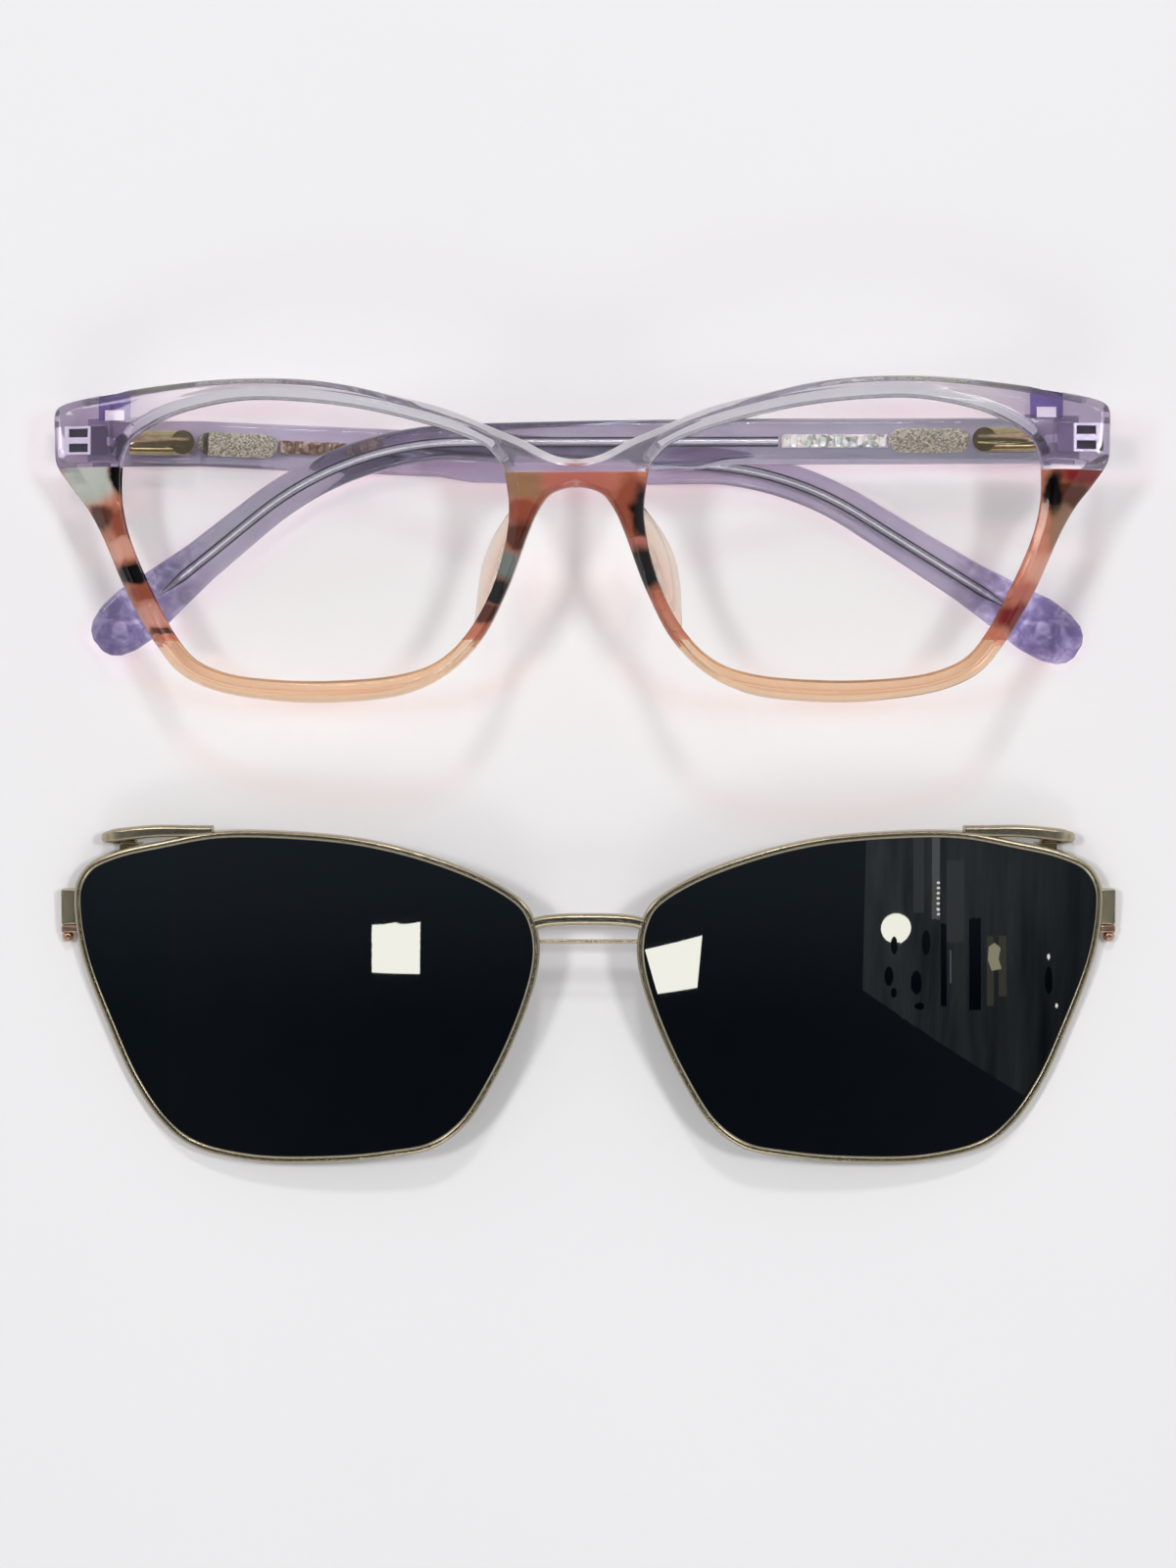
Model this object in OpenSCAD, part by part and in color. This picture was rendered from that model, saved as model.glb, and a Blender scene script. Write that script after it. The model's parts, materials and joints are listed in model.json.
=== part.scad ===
// Cat eye glasses with a metal clip-on, lying on a table with the temples folded.
// Lengths in mm. +Z points up from the table, +Y is the glasses' upward direction.
// In the glasses' own frame u runs to the right, v up and w out of the front.

/* [Front] */
// Width across the end pieces
front_w = 134.4; // [131.2:0.8:139.2]
// Height of the rims from top edge to bottom edge
front_h = 41; // [39:0.2:43]
// Thickness of the rims
rim_t = 4; // [3.8:0.1:4.5]
// Radius of the bow that the front follows
bow_r = 285; // [270:5:360]
// Height where the lavender layer meets the marbled layer
upper_split = 9.4; // [9:0.1:9.7]
// Height where the marbled layer meets the peach layer
lower_split = -12.6; // [-14:0.2:-11.4]
// Thickness of the demo lenses
lens_t = 1.6; // [1.3:0.1:1.6]

/* [Temples] */
// Length of a temple along its curve, from butt to tip
temple_len = 133; // [130:1:136]
// Distance from the hinge pin to the start of the ear bend
bend_start = 76.5; // [74:0.5:80]
// Radius of the ear bend
bend_r = 42; // [38:1:46]
// Ear bend of the left temple in degrees
bend_left = 29.6; // [26:0.4:34]
// Ear bend of the right temple in degrees
bend_right = 39; // [34:0.5:40]
// Downward set of the left temple in degrees
droop_left = 2.4; // [1:0.2:3]
// Thickness of a temple at the hinge
temple_t = 3.6; // [3.4:0.1:3.8]
// Least clearance where the folded temples cross
cross_gap = 0.3; // [0.2:0.05:0.5]
// Angle by which the inner folded temple leans to the front
lean_right = 1.4; // [1:0.1:1.5]

/* [Hinge] */
// Diameter of the barrels
barrel_d = 2.4; // [2.2:0.1:2.6]
// Diameter of the hinge screw
screw_d = 1; // [0.9:0.05:1.1]
// Travel of the flex spring
flex_travel = 2; // [1.5:0.1:2]

/* [Clip] */
// Width of the clip's rim wire seen from the front
wire_w = 0.95; // [0.9:0.05:1.2]
// Depth of the clip's rim wire
wire_depth = 2; // [1.8:0.1:2.4]
// Thickness of the tinted lenses
tint_t = 1.1; // [0.9:0.1:1.2]
// Space between the worn clip and the front
clip_gap = 0.4; // [0.3:0.05:0.8]

/* [Lay-out on the table] */
// Distance between the middles of the glasses and the clip
row_gap = 58.2; // [55:0.2:64]
// Sideways step of the glasses against the clip
side_step = 1.6; // [0:0.2:3]
// Forward tilt of the clip on its arms in degrees
clip_pitch = 6.5; // [6:0.1:7]

/* [Hidden] */
$fn = 32;
fit_gap = 0.05;
tiny = 0.01;
big = 200;
drawn_w = 134.4;
drawn_h = 40.6;
ku = front_w / drawn_w;
kv = front_h / drawn_h;
bow_fn = 720;
curve_steps = 2;

// Front sections in order round one rim, from the bridge over the top and back by the nose.
// Each row is outer u, outer v, lens opening u, lens opening v, bevel width.
front_rows = [
    [-2.9, 10.4, 8.7, 6.9, 0.9],
    [0, 9.9, 9, 8.5, 0.9],
    [2.9, 10.4, 9.35, 9.3, 0.9],
    [7, 12.4, 10.2, 10.3, 0.9],
    [9.7, 13.5, 11.5, 11.6, 0.9],
    [16.7, 16.3, 16, 13.5, 0.8],
    [22.5, 17.8, 21.5, 15.1, 0.8],
    [29.4, 19.4, 28.6, 16.65, 0.8],
    [36, 20.2, 36, 17.5, 0.8],
    [44.8, 20.3, 43.2, 17.6, 0.8],
    [54.2, 19.5, 50.6, 16.2, 0.9],
    [60.4, 18.6, 54.4, 14.6, 1],
    [66.1, 17.4, 56.9, 13, 1],
    [67.05, 16.6, 57.45, 12.3, 1],
    [67.2, 13.4, 57.9, 11.3, 1.1],
    [67, 10, 58.3, 9.9, 1.6],
    [65.3, 7.3, 58.45, 7.5, 2.4],
    [62.8, 4.1, 58.3, 4.5, 1.9],
    [61, 1, 57.5, 0.9, 1.2],
    [57.5, -6.7, 54.5, -6.1, 0.9],
    [53.9, -12.8, 51.3, -11.9, 0.8],
    [50.8, -16.5, 48.6, -14.9, 0.8],
    [46.4, -18.7, 44.6, -16.6, 0.8],
    [38.3, -20.1, 37.8, -17.5, 0.8],
    [30, -20.3, 30.2, -17.6, 0.8],
    [21.6, -19.3, 22.4, -16.9, 0.8],
    [16.4, -16.9, 17.8, -15.4, 0.8],
    [12, -12.6, 14.1, -12.2, 0.7],
    [8.65, -6.2, 10.9, -6.9, 0.7],
    [5.9, 1.1, 8.9, -0.6, 0.8],
    [4.85, 3.4, 8.5, 2.2, 0.9],
    [3.1, 5.6, 8.45, 3.8, 0.9],
    [0, 6.4, 8.5, 5, 0.9],
    [-3.1, 5.6, 8.6, 6, 0.9],
];
ridge_w = 1.3;
inner_fall = 0.8;
outer_fall = 1.3;
crown_fall = 0.25;
edge_follow = 0.5;
bevel_base = 0.8;
back_round = 0.5;
inner_round = 0.4;
groove_d = 0.5;
groove_front = 1.35;
groove_w = lens_t + 2 * fit_gap;

// End piece seat and hinge positions
front_half = max([for (r = front_rows) r[0]]) * ku;
hinge_in = 6;
seat_t = 1.6;
seat_in = 2;
pin_back = 1.45;
axis_u = front_half - hinge_in * ku;
butt_w = -sag(front_half) - rim_t - seat_t;
pin_w = butt_w - pin_back;
hinge_v = 13 * kv;
butt = 1.35;
inner_off = 1.5;
barrel_r = barrel_d / 2;
screw_r = screw_d / 2;
eye_l = 1;
knuckle_l = 0.95;
knuckle_gap = 0.06;
plate_v = 3.6;
plate_u0 = -1.1;
plate_u1 = 4.5;
plate_t = 1.1;
plate_depth = 0.4;
head_h = 0.45;
head_in = 0.3;
slot_w = 0.24;
slot_deep = 0.25;
window_in = 3.1;
window_u = 2.5;
window_v = 1.1;
window_step = 0.95;

// Magnet pockets in the top edge
pocket_u = 59 * ku;
pocket_half = 2.1;
pocket_v = 15.2 * kv;
pocket_front = 1.1;
pocket_deep = 2.1;
magnet_l = 2.6;
magnet_h = 1.4;

// Spring hinge in the temple, measured along the temple from the pin
housing_s0 = 2.9;
housing_v = 3.1;
housing_top = 0.95;
housing_sunk = 1.2;
crown_r = 1.9;
shoulder = 0.5;
cap_t = 0.8;
cap_out = 0.12;
bar_v = 1;
bar_a = 1.1;
bar_end = 4.6;
wall_s0 = 4.9;
wall_s1 = 5.5;
chamber_r = 0.7;
rod_r = 0.28;
collar_r = 0.55;
collar_t = 0.4;
coil_r = 0.48;
coil_wire = 0.12;
coil_turns = 5;
coil_steps = 12;
coil_play = 0.05;
coil_spare = 0.7;
coil_solid = 2 * coil_wire * coil_turns;
collar_s0 = wall_s1 + coil_solid + flex_travel + coil_spare;
collar_s1 = collar_s0 + collar_t;
chamber_end = 1.1;
chamber_s1 = collar_s1 + chamber_end;
housing_wall = 0.4;
housing_s1 = chamber_s1 + housing_wall;

// Trim in the temple
trim_step = 0.2;
glitter_len = 10.3;
glitter_s0 = housing_s1 + trim_step;
glitter_s1 = glitter_s0 + glitter_len;
glitter_v = 3.1;
trim_t = 0.8;
stone_s0 = glitter_s1 + trim_step;
stone_pitch = 0.955;
stone_count = 14;
stone_l = 0.9;
stone_h = 1.6;
stone_plate_t = 0.45;
stone_girdle = 0.15;
stone_crown = 0.2;
stone_table = 0.6;
stone_margin = 0.1;
stone_side = 0.07;
stone_deep = 0.6;
core_r = 0.65;
core_sides = 12;
core_s0 = 36;
core_point = 4;
core_short = 10;
level_s = 12;

// Temple outline: distance and half heights, first along the straight, then back from the tip
up_rows = [[-2, 2.95], [40, 2.95], [60, 2.75], [80, 2.3]];
down_rows = [[-2, 2.95], [43, 2.95], [47, 3.5], [62, 3.2], [80, 2.3]];
tip_rows = [
    [0, 1.1], [0.5, 2.1], [1.4, 2.9], [3.4, 3.6], [6.5, 3.85],
    [11, 3.3], [17, 2.75], [26, 2.5], [40, 2.3], [60, 2.3],
];
tip_blend = 24;
inner_rows = [[-2, 0], [13, 0], [24, 0.4], [40, 0.6]];
tip_thin = [[0, 0.95], [0.5, 0.65], [1.4, 0.4], [3.4, 0.15], [6.5, 0]];
temple_edge = 0.5;
temple_bevel = 0.9;
tip_s = temple_len - butt;
paddle_end = 3.4;

// The outer temple stands off as far as it needs to clear the inner one where they cross
stand_min = 1.6;
cross_drop = 2 * lookup(0, up_rows) + 2 * cross_gap;
cross_turn = acos(1 - cross_drop / bend_r);
cross_far = bend_start + bend_arc(cross_turn);
cross_near = 2 * axis_u - cross_far;
stand_off_left = max(stand_min, asin((temple_t + cross_gap - lookup(cross_near, inner_rows)
    - cross_far * sin(lean_right)) / cross_near));

// Clip outline, outer edge of the rim wire
clip_rows = [
    [6.2, 6.8], [6.6, 3], [8.6, -3.2], [11.9, -10.3], [15.7, -16.2], [19.9, -19.3],
    [25.3, -20.5], [32.5, -21.3], [43.5, -21.4], [51.3, -19.7], [55.1, -16.9],
    [58.9, -11.6], [62.3, -4.2], [65.5, 4.3], [66.5, 10.3], [66.3, 13.6],
    [64.6, 16.3], [61, 18.1], [55, 19.6], [47.8, 21], [39.2, 21.15],
    [29.1, 20.35], [20.3, 18.3], [12.6, 15.3], [8.1, 12.3], [6.8, 10],
];
tint_grip = 0.35;
tint_play = 0.03;
tint_depth = 0.55;
rim_edge = 0.25;
bridge_lead = [8.5, 9];
bridge_pts = [[7, 9.6], [5.6, 9.95], [4.2, 10.1], [2, 10.2], [0, 10.2]];
bridge_edge = 0.35;
bridge_h = 1.5;
bridge_t = 1.7;
bar_r = 0.28;
bar_y = 7.3;
bar_half = 6.4;
bar_up = 0.6;
// Each row is u, v, depth from the middle of the rim wire, width of the strap
arm_pts = [
    [46.3, 21.3, 0.5, 1.2], [48.2, 21.14, 0.5, 1.25], [51, 20.97, 0.4, 1.45], [55.6, 20.8, 0.2, 1.6],
    [59.2, 20.35, -0.1, 1.7], [61.4, 19.95, -0.5, 1.8], [62.3, 19.65, -1.3, 2.1],
    [62.35, 19.55, -2.4, 2.2], [61.2, 19.55, -3.3, 2], [58.6, 19.6, -3.6, 1.6], [56.4, 19.7, -3.6, 1.3],
];
arm_d = 1.3;
arm_edge = 0.3;
post_w = 3;
post_d = 1.5;
post_step = 0.2;
clip_magnet_r = 0.85;
clip_magnet_h = 1.3;
lock_v = 10.2;
lock_h = 5.6;
lock_out = 1.7;
lock_d = 1.8;
lock_screw_r = 0.45;
lock_head_r = 0.75;
lock_head_h = 1.1;
lock_row = 14;
lock_in = 0.4;
lock_up = 0.5;
lock_step = 0.1;
lock_floor = 0.4;
lock_slit = 0.12;
lock_cut = -1.8;
lock_slot = 2;

// Colours
lavender = [0.66, 0.62, 0.8];
marble = [0.45, 0.22, 0.18];
peach = [0.92, 0.76, 0.64];
clear = [0.85, 0.9, 0.88, 0.4];
gold = [0.62, 0.58, 0.45];
steel = [0.7, 0.7, 0.72];
smoke = [0.05, 0.07, 0.1];
magnet_grey = [0.35, 0.35, 0.38];
glitter_col = [0.75, 0.75, 0.65];
stone_col = [0.95, 0.95, 1];

// Curves
function sag(u) = bow_r - sqrt(bow_r * bow_r - u * u);
function knot(a, b) = max(sqrt(norm([b[0] - a[0], b[1] - a[1]])), tiny);
function cr(p0, p1, p2, p3, t) =
    let (t1 = knot(p0, p1), t2 = t1 + knot(p1, p2), t3 = t2 + knot(p2, p3))
    let (x = t1 + (t2 - t1) * t)
    let (a1 = (p0 * (t1 - x) + p1 * x) / t1)
    let (a2 = (p1 * (t2 - x) + p2 * (x - t1)) / (t2 - t1))
    let (a3 = (p2 * (t3 - x) + p3 * (x - t2)) / (t3 - t2))
    let (b1 = (a1 * (t2 - x) + a2 * x) / t2)
    let (b2 = (a2 * (t3 - x) + a3 * (x - t1)) / (t3 - t1))
    (b1 * (t2 - x) + b2 * (x - t1)) / (t2 - t1);
// Spline through rows whose first and last only steer the ends
function open_curve(p, n) = concat(
    [for (i = [1 : len(p) - 3], k = [0 : n - 1]) cr(p[i - 1], p[i], p[i + 1], p[i + 2], k / n)],
    [p[len(p) - 2]]);
function ring_curve(p, n) = let (m = len(p))
    [for (i = [0 : m - 1], k = [0 : n - 1])
        cr(p[(i + m - 1) % m], p[i], p[(i + 1) % m], p[(i + 2) % m], k / n)];
function unit(v) = v / max(norm(v), tiny);
function left_of(v) = [-v[1], v[0]];
// Outward normals of a clockwise loop
function loop_normal(p, i) = let (m = len(p))
    unit(left_of(p[(i + 1) % m] - p[(i + m - 1) % m]));

// Sweep of one closed section along stations
module skin(rings, close_loop = false) {
    n = len(rings);
    m = len(rings[0]);
    pts = [for (r = rings, p = r) p];
    last = close_loop ? n - 1 : n - 2;
    sides = [for (i = [0 : last], k = [0 : m - 1], h = [0, 1])
        let (j = (i + 1) % n, l = (k + 1) % m)
        h == 0 ? [i * m + k, i * m + l, j * m + l] : [i * m + k, j * m + l, j * m + k]];
    caps = close_loop ? [] : [
        [for (k = [m - 1 : -1 : 0]) k],
        [for (k = [0 : m - 1]) (n - 1) * m + k]];
    polyhedron(points = pts, faces = concat(sides, caps), convexity = 10);
}

// Front
front_st = [for (q = open_curve(front_rows, curve_steps)) [q[0] * ku, q[1] * kv, q[2] * ku, q[3] * kv, q[4]]];
front_n = len(front_st);
outer_loop = [for (q = front_st) [q[0], q[1]]];
inner_loop = [for (q = front_st) [q[2], q[3]]];
function outer_normal(i) = i == 0 ? [0, 1] : i == front_n - 1 ? [0, -1] : loop_normal(outer_loop, i);
function at(p, w) = [p[0], p[1], w - sag(p[0])];
function front_ring(i) =
    let (o = outer_loop[i], q = inner_loop[i])
    let (no = outer_normal(i), ni = loop_normal(inner_loop, i), b = front_st[i][4])
    [
        at(q, -inner_fall),
        at(q + ni * ridge_w, 0),
        at(o - no * b, -crown_fall),
        at(o, -outer_fall - (b - bevel_base) * edge_follow),
        at(o, -rim_t + back_round),
        at(o - no * back_round, -rim_t),
        at(q + ni * inner_round, -rim_t),
        at(q, -rim_t + inner_round),
        at(q, -groove_front - groove_w),
        at(q + ni * groove_d, -groove_front - groove_w),
        at(q + ni * groove_d, -groove_front),
        at(q, -groove_front),
    ];
seam_first = 2;
seam_last = 5;

// One solid for both rims: the mirrored rim shares the bridge's middle section
module front_blank() {
    rings = [for (i = [0 : front_n - 1]) front_ring(i)];
    m = len(rings[0]);
    half = [for (r = rings, p = r) p];
    count = len(half);
    pts = concat(half, [for (p = half) [-p[0], p[1], p[2]]]);
    quads = [for (i = [0 : front_n - 1], k = [0 : m - 1])
        if (!(i == front_n - 1 && k >= seam_first && k < seam_last))
        let (j = (i + 1) % front_n, l = (k + 1) % m)
        [i * m + k, i * m + l, j * m + l, j * m + k]];
    one = [for (q = quads, h = [0, 1]) h == 0 ? [q[0], q[1], q[2]] : [q[0], q[2], q[3]]];
    function across(v) = let (i = floor(v / m), k = v % m)
        (i == 0 || i == front_n - 1) && k >= seam_first && k <= seam_last ? v : v + count;
    two = [for (f = one) [across(f[2]), across(f[1]), across(f[0])]];
    polyhedron(points = pts, faces = concat(one, two), convexity = 12);
}

module both_sides() {
    children();
    mirror([1, 0, 0]) children();
}

// Flat seat for the temple's butt behind the end piece
seat_pts = [[59.7, 10.4], [66.2, 10.1], [66.8, 10.8], [66.8, 16.1], [65.9, 16.9], [59.7, 18.1]];
module butt_seat() {
    translate([0, 0, butt_w])
        linear_extrude(height = -butt_w - sag(front_half) - seat_in)
            polygon([for (p = seat_pts) [p[0] * ku, p[1] * kv]]);
}

// Pocket for one magnet, open at the top edge
module magnet_pocket() {
    translate([pocket_u - pocket_half, pocket_v, -sag(pocket_u) - pocket_front - pocket_deep])
        cube([2 * pocket_half, front_h, pocket_deep]);
}

// Embedded plate of the front hinge with the legs that carry the two knuckles
module plate_blank() {
    translate([axis_u + plate_u0, hinge_v - plate_v / 2, butt_w + plate_depth])
        cube([plate_u1 - plate_u0, plate_v, plate_t]);
    for (side = [-1, 1])
        translate([axis_u + plate_u0, hinge_v + side * (eye_l / 2 + knuckle_gap + knuckle_l / 2)
            - knuckle_l / 2, pin_w])
            cube([-2 * plate_u0, knuckle_l, butt_w + plate_depth - pin_w + tiny]);
}

module layer(lo, hi) {
    intersection() {
        children();
        translate([-big / 2, lo, -big / 2]) cube([big, hi - lo, big]);
    }
}

module front_upper_solid() {
    difference() {
        union() {
            layer(upper_split * kv, big) front_blank();
            both_sides() butt_seat();
        }
        both_sides() {
            magnet_pocket();
            plate_blank();
        }
    }
}

// Demo lens
lens_loop = [for (i = [0 : front_n - 1])
    inner_loop[i] + loop_normal(inner_loop, i) * (groove_d - tiny)];
module bow_solid(w, length) {
    translate([0, length / 2, w - bow_r]) rotate([90, 0, 0]) cylinder(r = bow_r, h = length, $fn = bow_fn);
}
module bowed(loop, front, back) {
    intersection() {
        translate([0, 0, -big / 4]) linear_extrude(height = big / 2) polygon(loop);
        difference() {
            bow_solid(front, big);
            bow_solid(back, big + 1);
        }
    }
}
module demo_lens() {
    bowed(lens_loop, -groove_front - fit_gap, -groove_front - fit_gap - lens_t);
}

// Nose pad: sections down the nose, from the front's back face to the pad's edge
// Each row is v, nose edge u, lens edge u, pad edge u, depth of the pad edge behind the front
pad_rows = [
    [4.2, 6, 8.2, 8.3, 1.2],
    [3, 5.9, 8.2, 9.3, 3.2],
    [0.6, 6.6, 8.6, 11, 5],
    [-2.4, 7.6, 9, 12.3, 5.8],
    [-5.6, 8.8, 10, 12.9, 5.4],
    [-8.4, 10.1, 11.3, 13.1, 4],
    [-10.4, 11.3, 12.6, 13.2, 2],
    [-11.3, 12, 13, 13.1, 0.8],
];
pad_root = 0.3;
pad_edge = 0.5;
module nose_pad() {
    skin([for (r = pad_rows)
        let (y = r[0] * kv, z0 = -rim_t + pad_root, z1 = -rim_t - r[4])
        [
            [r[1] * ku, y, z0],
            [r[2] * ku, y, z0],
            [lerp(r[2], r[3], 0.75) * ku, y, lerp(z0, z1, 0.55)],
            [r[3] * ku, y, z1 + pad_edge],
            [r[3] * ku - pad_edge, y, z1],
            [lerp(r[1], r[3], 0.5) * ku, y, lerp(z0, z1, 0.72)],
        ]]);
}
function lerp(a, b, t) = a + (b - a) * t;

// Front hinge
module screw_hole(r) {
    translate([axis_u, hinge_v + plate_v, pin_w]) rotate([90, 0, 0]) cylinder(r = r, h = 2 * plate_v);
}
screw_top = eye_l / 2 + knuckle_gap + knuckle_l;
module hinge_plate() {
    difference() {
        union() {
            plate_blank();
            for (side = [-1, 1])
                translate([axis_u, hinge_v + side * (eye_l / 2 + knuckle_gap + knuckle_l / 2)
                    + knuckle_l / 2, pin_w])
                    rotate([90, 0, 0]) cylinder(r = barrel_r, h = knuckle_l);
        }
        screw_hole(screw_r);
        for (side = [-1, 1])
            translate([axis_u + plate_u1 - window_in, hinge_v + side * window_step - window_v / 2, butt_w])
                cube([window_u, window_v, plate_depth + plate_t + 1]);
    }
}
module hinge_screw() {
    translate([axis_u, hinge_v + screw_top, pin_w]) rotate([90, 0, 0]) {
        cylinder(r = screw_r, h = 2 * screw_top);
        difference() {
            translate([0, 0, -head_h]) cylinder(r = barrel_r - head_in, h = head_h);
            translate([-barrel_r, -slot_w / 2, -head_h - slot_deep]) cube([barrel_d, slot_w, 2 * slot_deep]);
        }
    }
}
module frame_magnet() {
    translate([pocket_u - magnet_l / 2, pocket_v, -sag(pocket_u) - pocket_front - pocket_deep])
        cube([magnet_l, magnet_h, pocket_deep]);
}

// Temple in its own frame: x along from the pin, y up, z towards the front when folded
function bend_arc(b) = bend_r * b * PI / 180;
function path_angle(s, d, b) = s < level_s ? 0 : s < bend_start ? d
    : s < bend_start + bend_arc(b) ? d + (s - bend_start) / bend_r * 180 / PI : d + b;
function bend_x(d) = level_s + (bend_start - level_s) * cos(d);
function bend_y(d) = -(bend_start - level_s) * sin(d);
function path_at(s, d, b) =
    s < level_s ? [s, 0]
    : s < bend_start ? [level_s + (s - level_s) * cos(d), -(s - level_s) * sin(d)]
    : s < bend_start + bend_arc(b) ? let (g = path_angle(s, d, b))
        [bend_x(d) + bend_r * (sin(g) - sin(d)), bend_y(d) - bend_r * (cos(d) - cos(g))]
    : let (g = d + b, e = s - bend_start - bend_arc(b))
        [bend_x(d) + bend_r * (sin(g) - sin(d)) + e * cos(g),
         bend_y(d) - bend_r * (cos(d) - cos(g)) - e * sin(g)];
function temple_ring(s, d, b) =
    let (p = path_at(s, d, b), g = path_angle(s, d, b), e = tip_s - s)
    let (n = [sin(g), cos(g)], tip = s > bend_start)
    let (mix = tip ? min((s - bend_start) / tip_blend, 1) : 0)
    let (hu = e < paddle_end ? lookup(e, tip_rows) : lerp(lookup(s, up_rows), lookup(e, tip_rows), mix))
    let (hd = e < paddle_end ? lookup(e, tip_rows) : lerp(lookup(s, down_rows), lookup(e, tip_rows), mix))
    let (z0 = -inner_off - lookup(s, inner_rows) - lookup(e, tip_thin))
    let (z1 = -inner_off - temple_t + lookup(e, tip_thin))
    let (c = min(temple_edge, (z0 - z1) * 0.2), v = min(temple_bevel, (z0 - z1) * 0.3, hu * 0.4))
    [for (q = [
        [hu - c, z0], [hu, z0 - c], [hu, z1 + v], [hu - v, z1],
        [-hd + v, z1], [-hd, z1 + v], [-hd, z0 - c], [-hd + c, z0]])
        [p[0] + n[0] * q[0], p[1] + n[1] * q[0], q[1]]];
function temple_stations(b) = concat(
    [-butt, level_s, 24, 40, 43, 47, 55, 62, 69],
    [for (k = [0 : 5]) bend_start + bend_arc(b) * k / 5],
    [for (e = [18, 14, 11, 9, 6.5, 5, 3.4, 2.2, 1.4, 0.5, 0]) tip_s - e]);
module temple_blank(d, b) {
    skin([for (s = temple_stations(b)) temple_ring(s, d, b)]);
}
inner_recess = inner_rows[3][1];
core_z = -inner_off - inner_recess - (temple_t - inner_recess) / 2;
core_end = tip_s - core_short;
module core(d, b) {
    arc = bend_arc(b);
    stations = concat([core_s0], [for (k = [0 : 6]) bend_start + arc * k / 6],
        [core_end - core_point, core_end]);
    skin([for (s = stations)
        let (p = path_at(s, d, b), g = path_angle(s, d, b), r = s == core_end ? core_r / 5 : core_r)
        [for (k = [0 : core_sides - 1])
            let (y = r * cos(k * 360 / core_sides), z = -r * sin(k * 360 / core_sides))
            [p[0] + sin(g) * y, p[1] + cos(g) * y, core_z + z]]]);
}
// Solid along the temple's first stretch, following its downward set beyond the hinge
module along(d) {
    translate([level_s, 0, 0]) rotate([0, 0, -d]) translate([-level_s, 0, 0]) children();
}
// Sunk box with a barrel-shaped top and a round cap at its inner end
module housing_outer() {
    z0 = -inner_off - housing_sunk;
    long = housing_s1 - housing_s0 - housing_v / 2;
    translate([housing_s0, -housing_v / 2, z0]) cube([long, housing_v, -shoulder - z0]);
    translate([housing_s1 - housing_v / 2, 0, z0])
        cylinder(r = housing_v / 2, h = inner_off + housing_sunk + housing_top - cap_out);
    intersection() {
        translate([housing_s0, -housing_v / 2, -shoulder])
            cube([long + cap_t, housing_v, housing_top + shoulder]);
        translate([housing_s0, 0, housing_top - crown_r]) rotate([0, 90, 0])
            cylinder(r = crown_r, h = housing_s1);
    }
}
module glitter_plate(d) {
    z = -inner_off - trim_t;
    along(d) {
        translate([glitter_s0 + glitter_v / 2, 0, z]) cylinder(r = glitter_v / 2, h = trim_t);
        translate([glitter_s0 + glitter_v / 2, -glitter_v / 2, z])
            cube([glitter_s1 - glitter_s0 - glitter_v, glitter_v, trim_t]);
        translate([glitter_s1 - glitter_v / 2, 0, z]) cylinder(r = glitter_v / 2, h = trim_t);
    }
}
stone_z = -inner_off - stone_deep - trim_t;
stone_strip = stone_pitch * stone_count + 2 * stone_margin;
module stone_bed(d) {
    along(d) translate([stone_s0, -stone_h / 2 - stone_side, stone_z])
        cube([stone_strip, stone_h + 2 * stone_side, temple_t]);
}
module stones(d) {
    along(d) {
        translate([stone_s0, -stone_h / 2 - stone_side, stone_z])
            cube([stone_strip, stone_h + 2 * stone_side, stone_plate_t]);
        for (i = [0 : stone_count - 1])
            translate([stone_s0 + stone_margin + stone_pitch * (i + 0.5), 0, stone_z + stone_plate_t]) {
                translate([-stone_l / 2, -stone_h / 2, 0]) cube([stone_l, stone_h, stone_girdle]);
                translate([0, 0, stone_girdle]) linear_extrude(height = stone_crown, scale = stone_table)
                    square([stone_l, stone_h], center = true);
            }
    }
}
module temple(d, b) {
    difference() {
        temple_blank(d, b);
        core(d, b);
        housing_outer();
        glitter_plate(d);
        stone_bed(d);
    }
}
module housing() {
    difference() {
        housing_outer();
        translate([housing_s0 - 1, -bar_v / 2 - fit_gap, -bar_a / 2 - fit_gap])
            cube([wall_s0 - housing_s0 + 1, bar_v + 2 * fit_gap, bar_a + 2 * fit_gap]);
        translate([wall_s0 - fit_gap, 0, 0]) rotate([0, 90, 0])
            cylinder(r = rod_r + fit_gap, h = wall_s1 - wall_s0 + 2 * fit_gap);
        translate([wall_s1, 0, 0]) rotate([0, 90, 0]) cylinder(r = chamber_r, h = chamber_s1 - wall_s1);
    }
}
module slider() {
    difference() {
        union() {
            translate([0, eye_l / 2, 0]) rotate([90, 0, 0]) cylinder(r = barrel_r, h = eye_l);
            translate([0, -bar_v / 2, -bar_a / 2]) cube([bar_end, bar_v, bar_a]);
        }
        translate([0, eye_l, 0]) rotate([90, 0, 0]) cylinder(r = screw_r + fit_gap, h = 2 * eye_l);
    }
}
module guide_rod() {
    translate([bar_end, 0, 0]) rotate([0, 90, 0]) cylinder(r = rod_r, h = collar_s1 - bar_end);
    translate([collar_s0, 0, 0]) rotate([0, 90, 0]) cylinder(r = collar_r, h = collar_s1 - collar_s0);
}
module spring() {
    len_s = collar_s0 - wall_s1 - 2 * (coil_wire + coil_play);
    x0 = wall_s1 + coil_wire + coil_play;
    skin([for (i = [0 : coil_turns * coil_steps])
        let (g = 360 * i / coil_steps, x = x0 + len_s * i / (coil_turns * coil_steps))
        [for (k = [0 : 5]) let (r = coil_r + coil_wire * cos(60 * k))
            [x + coil_wire * sin(60 * k), r * cos(g), r * sin(g)]]]);
}

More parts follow.
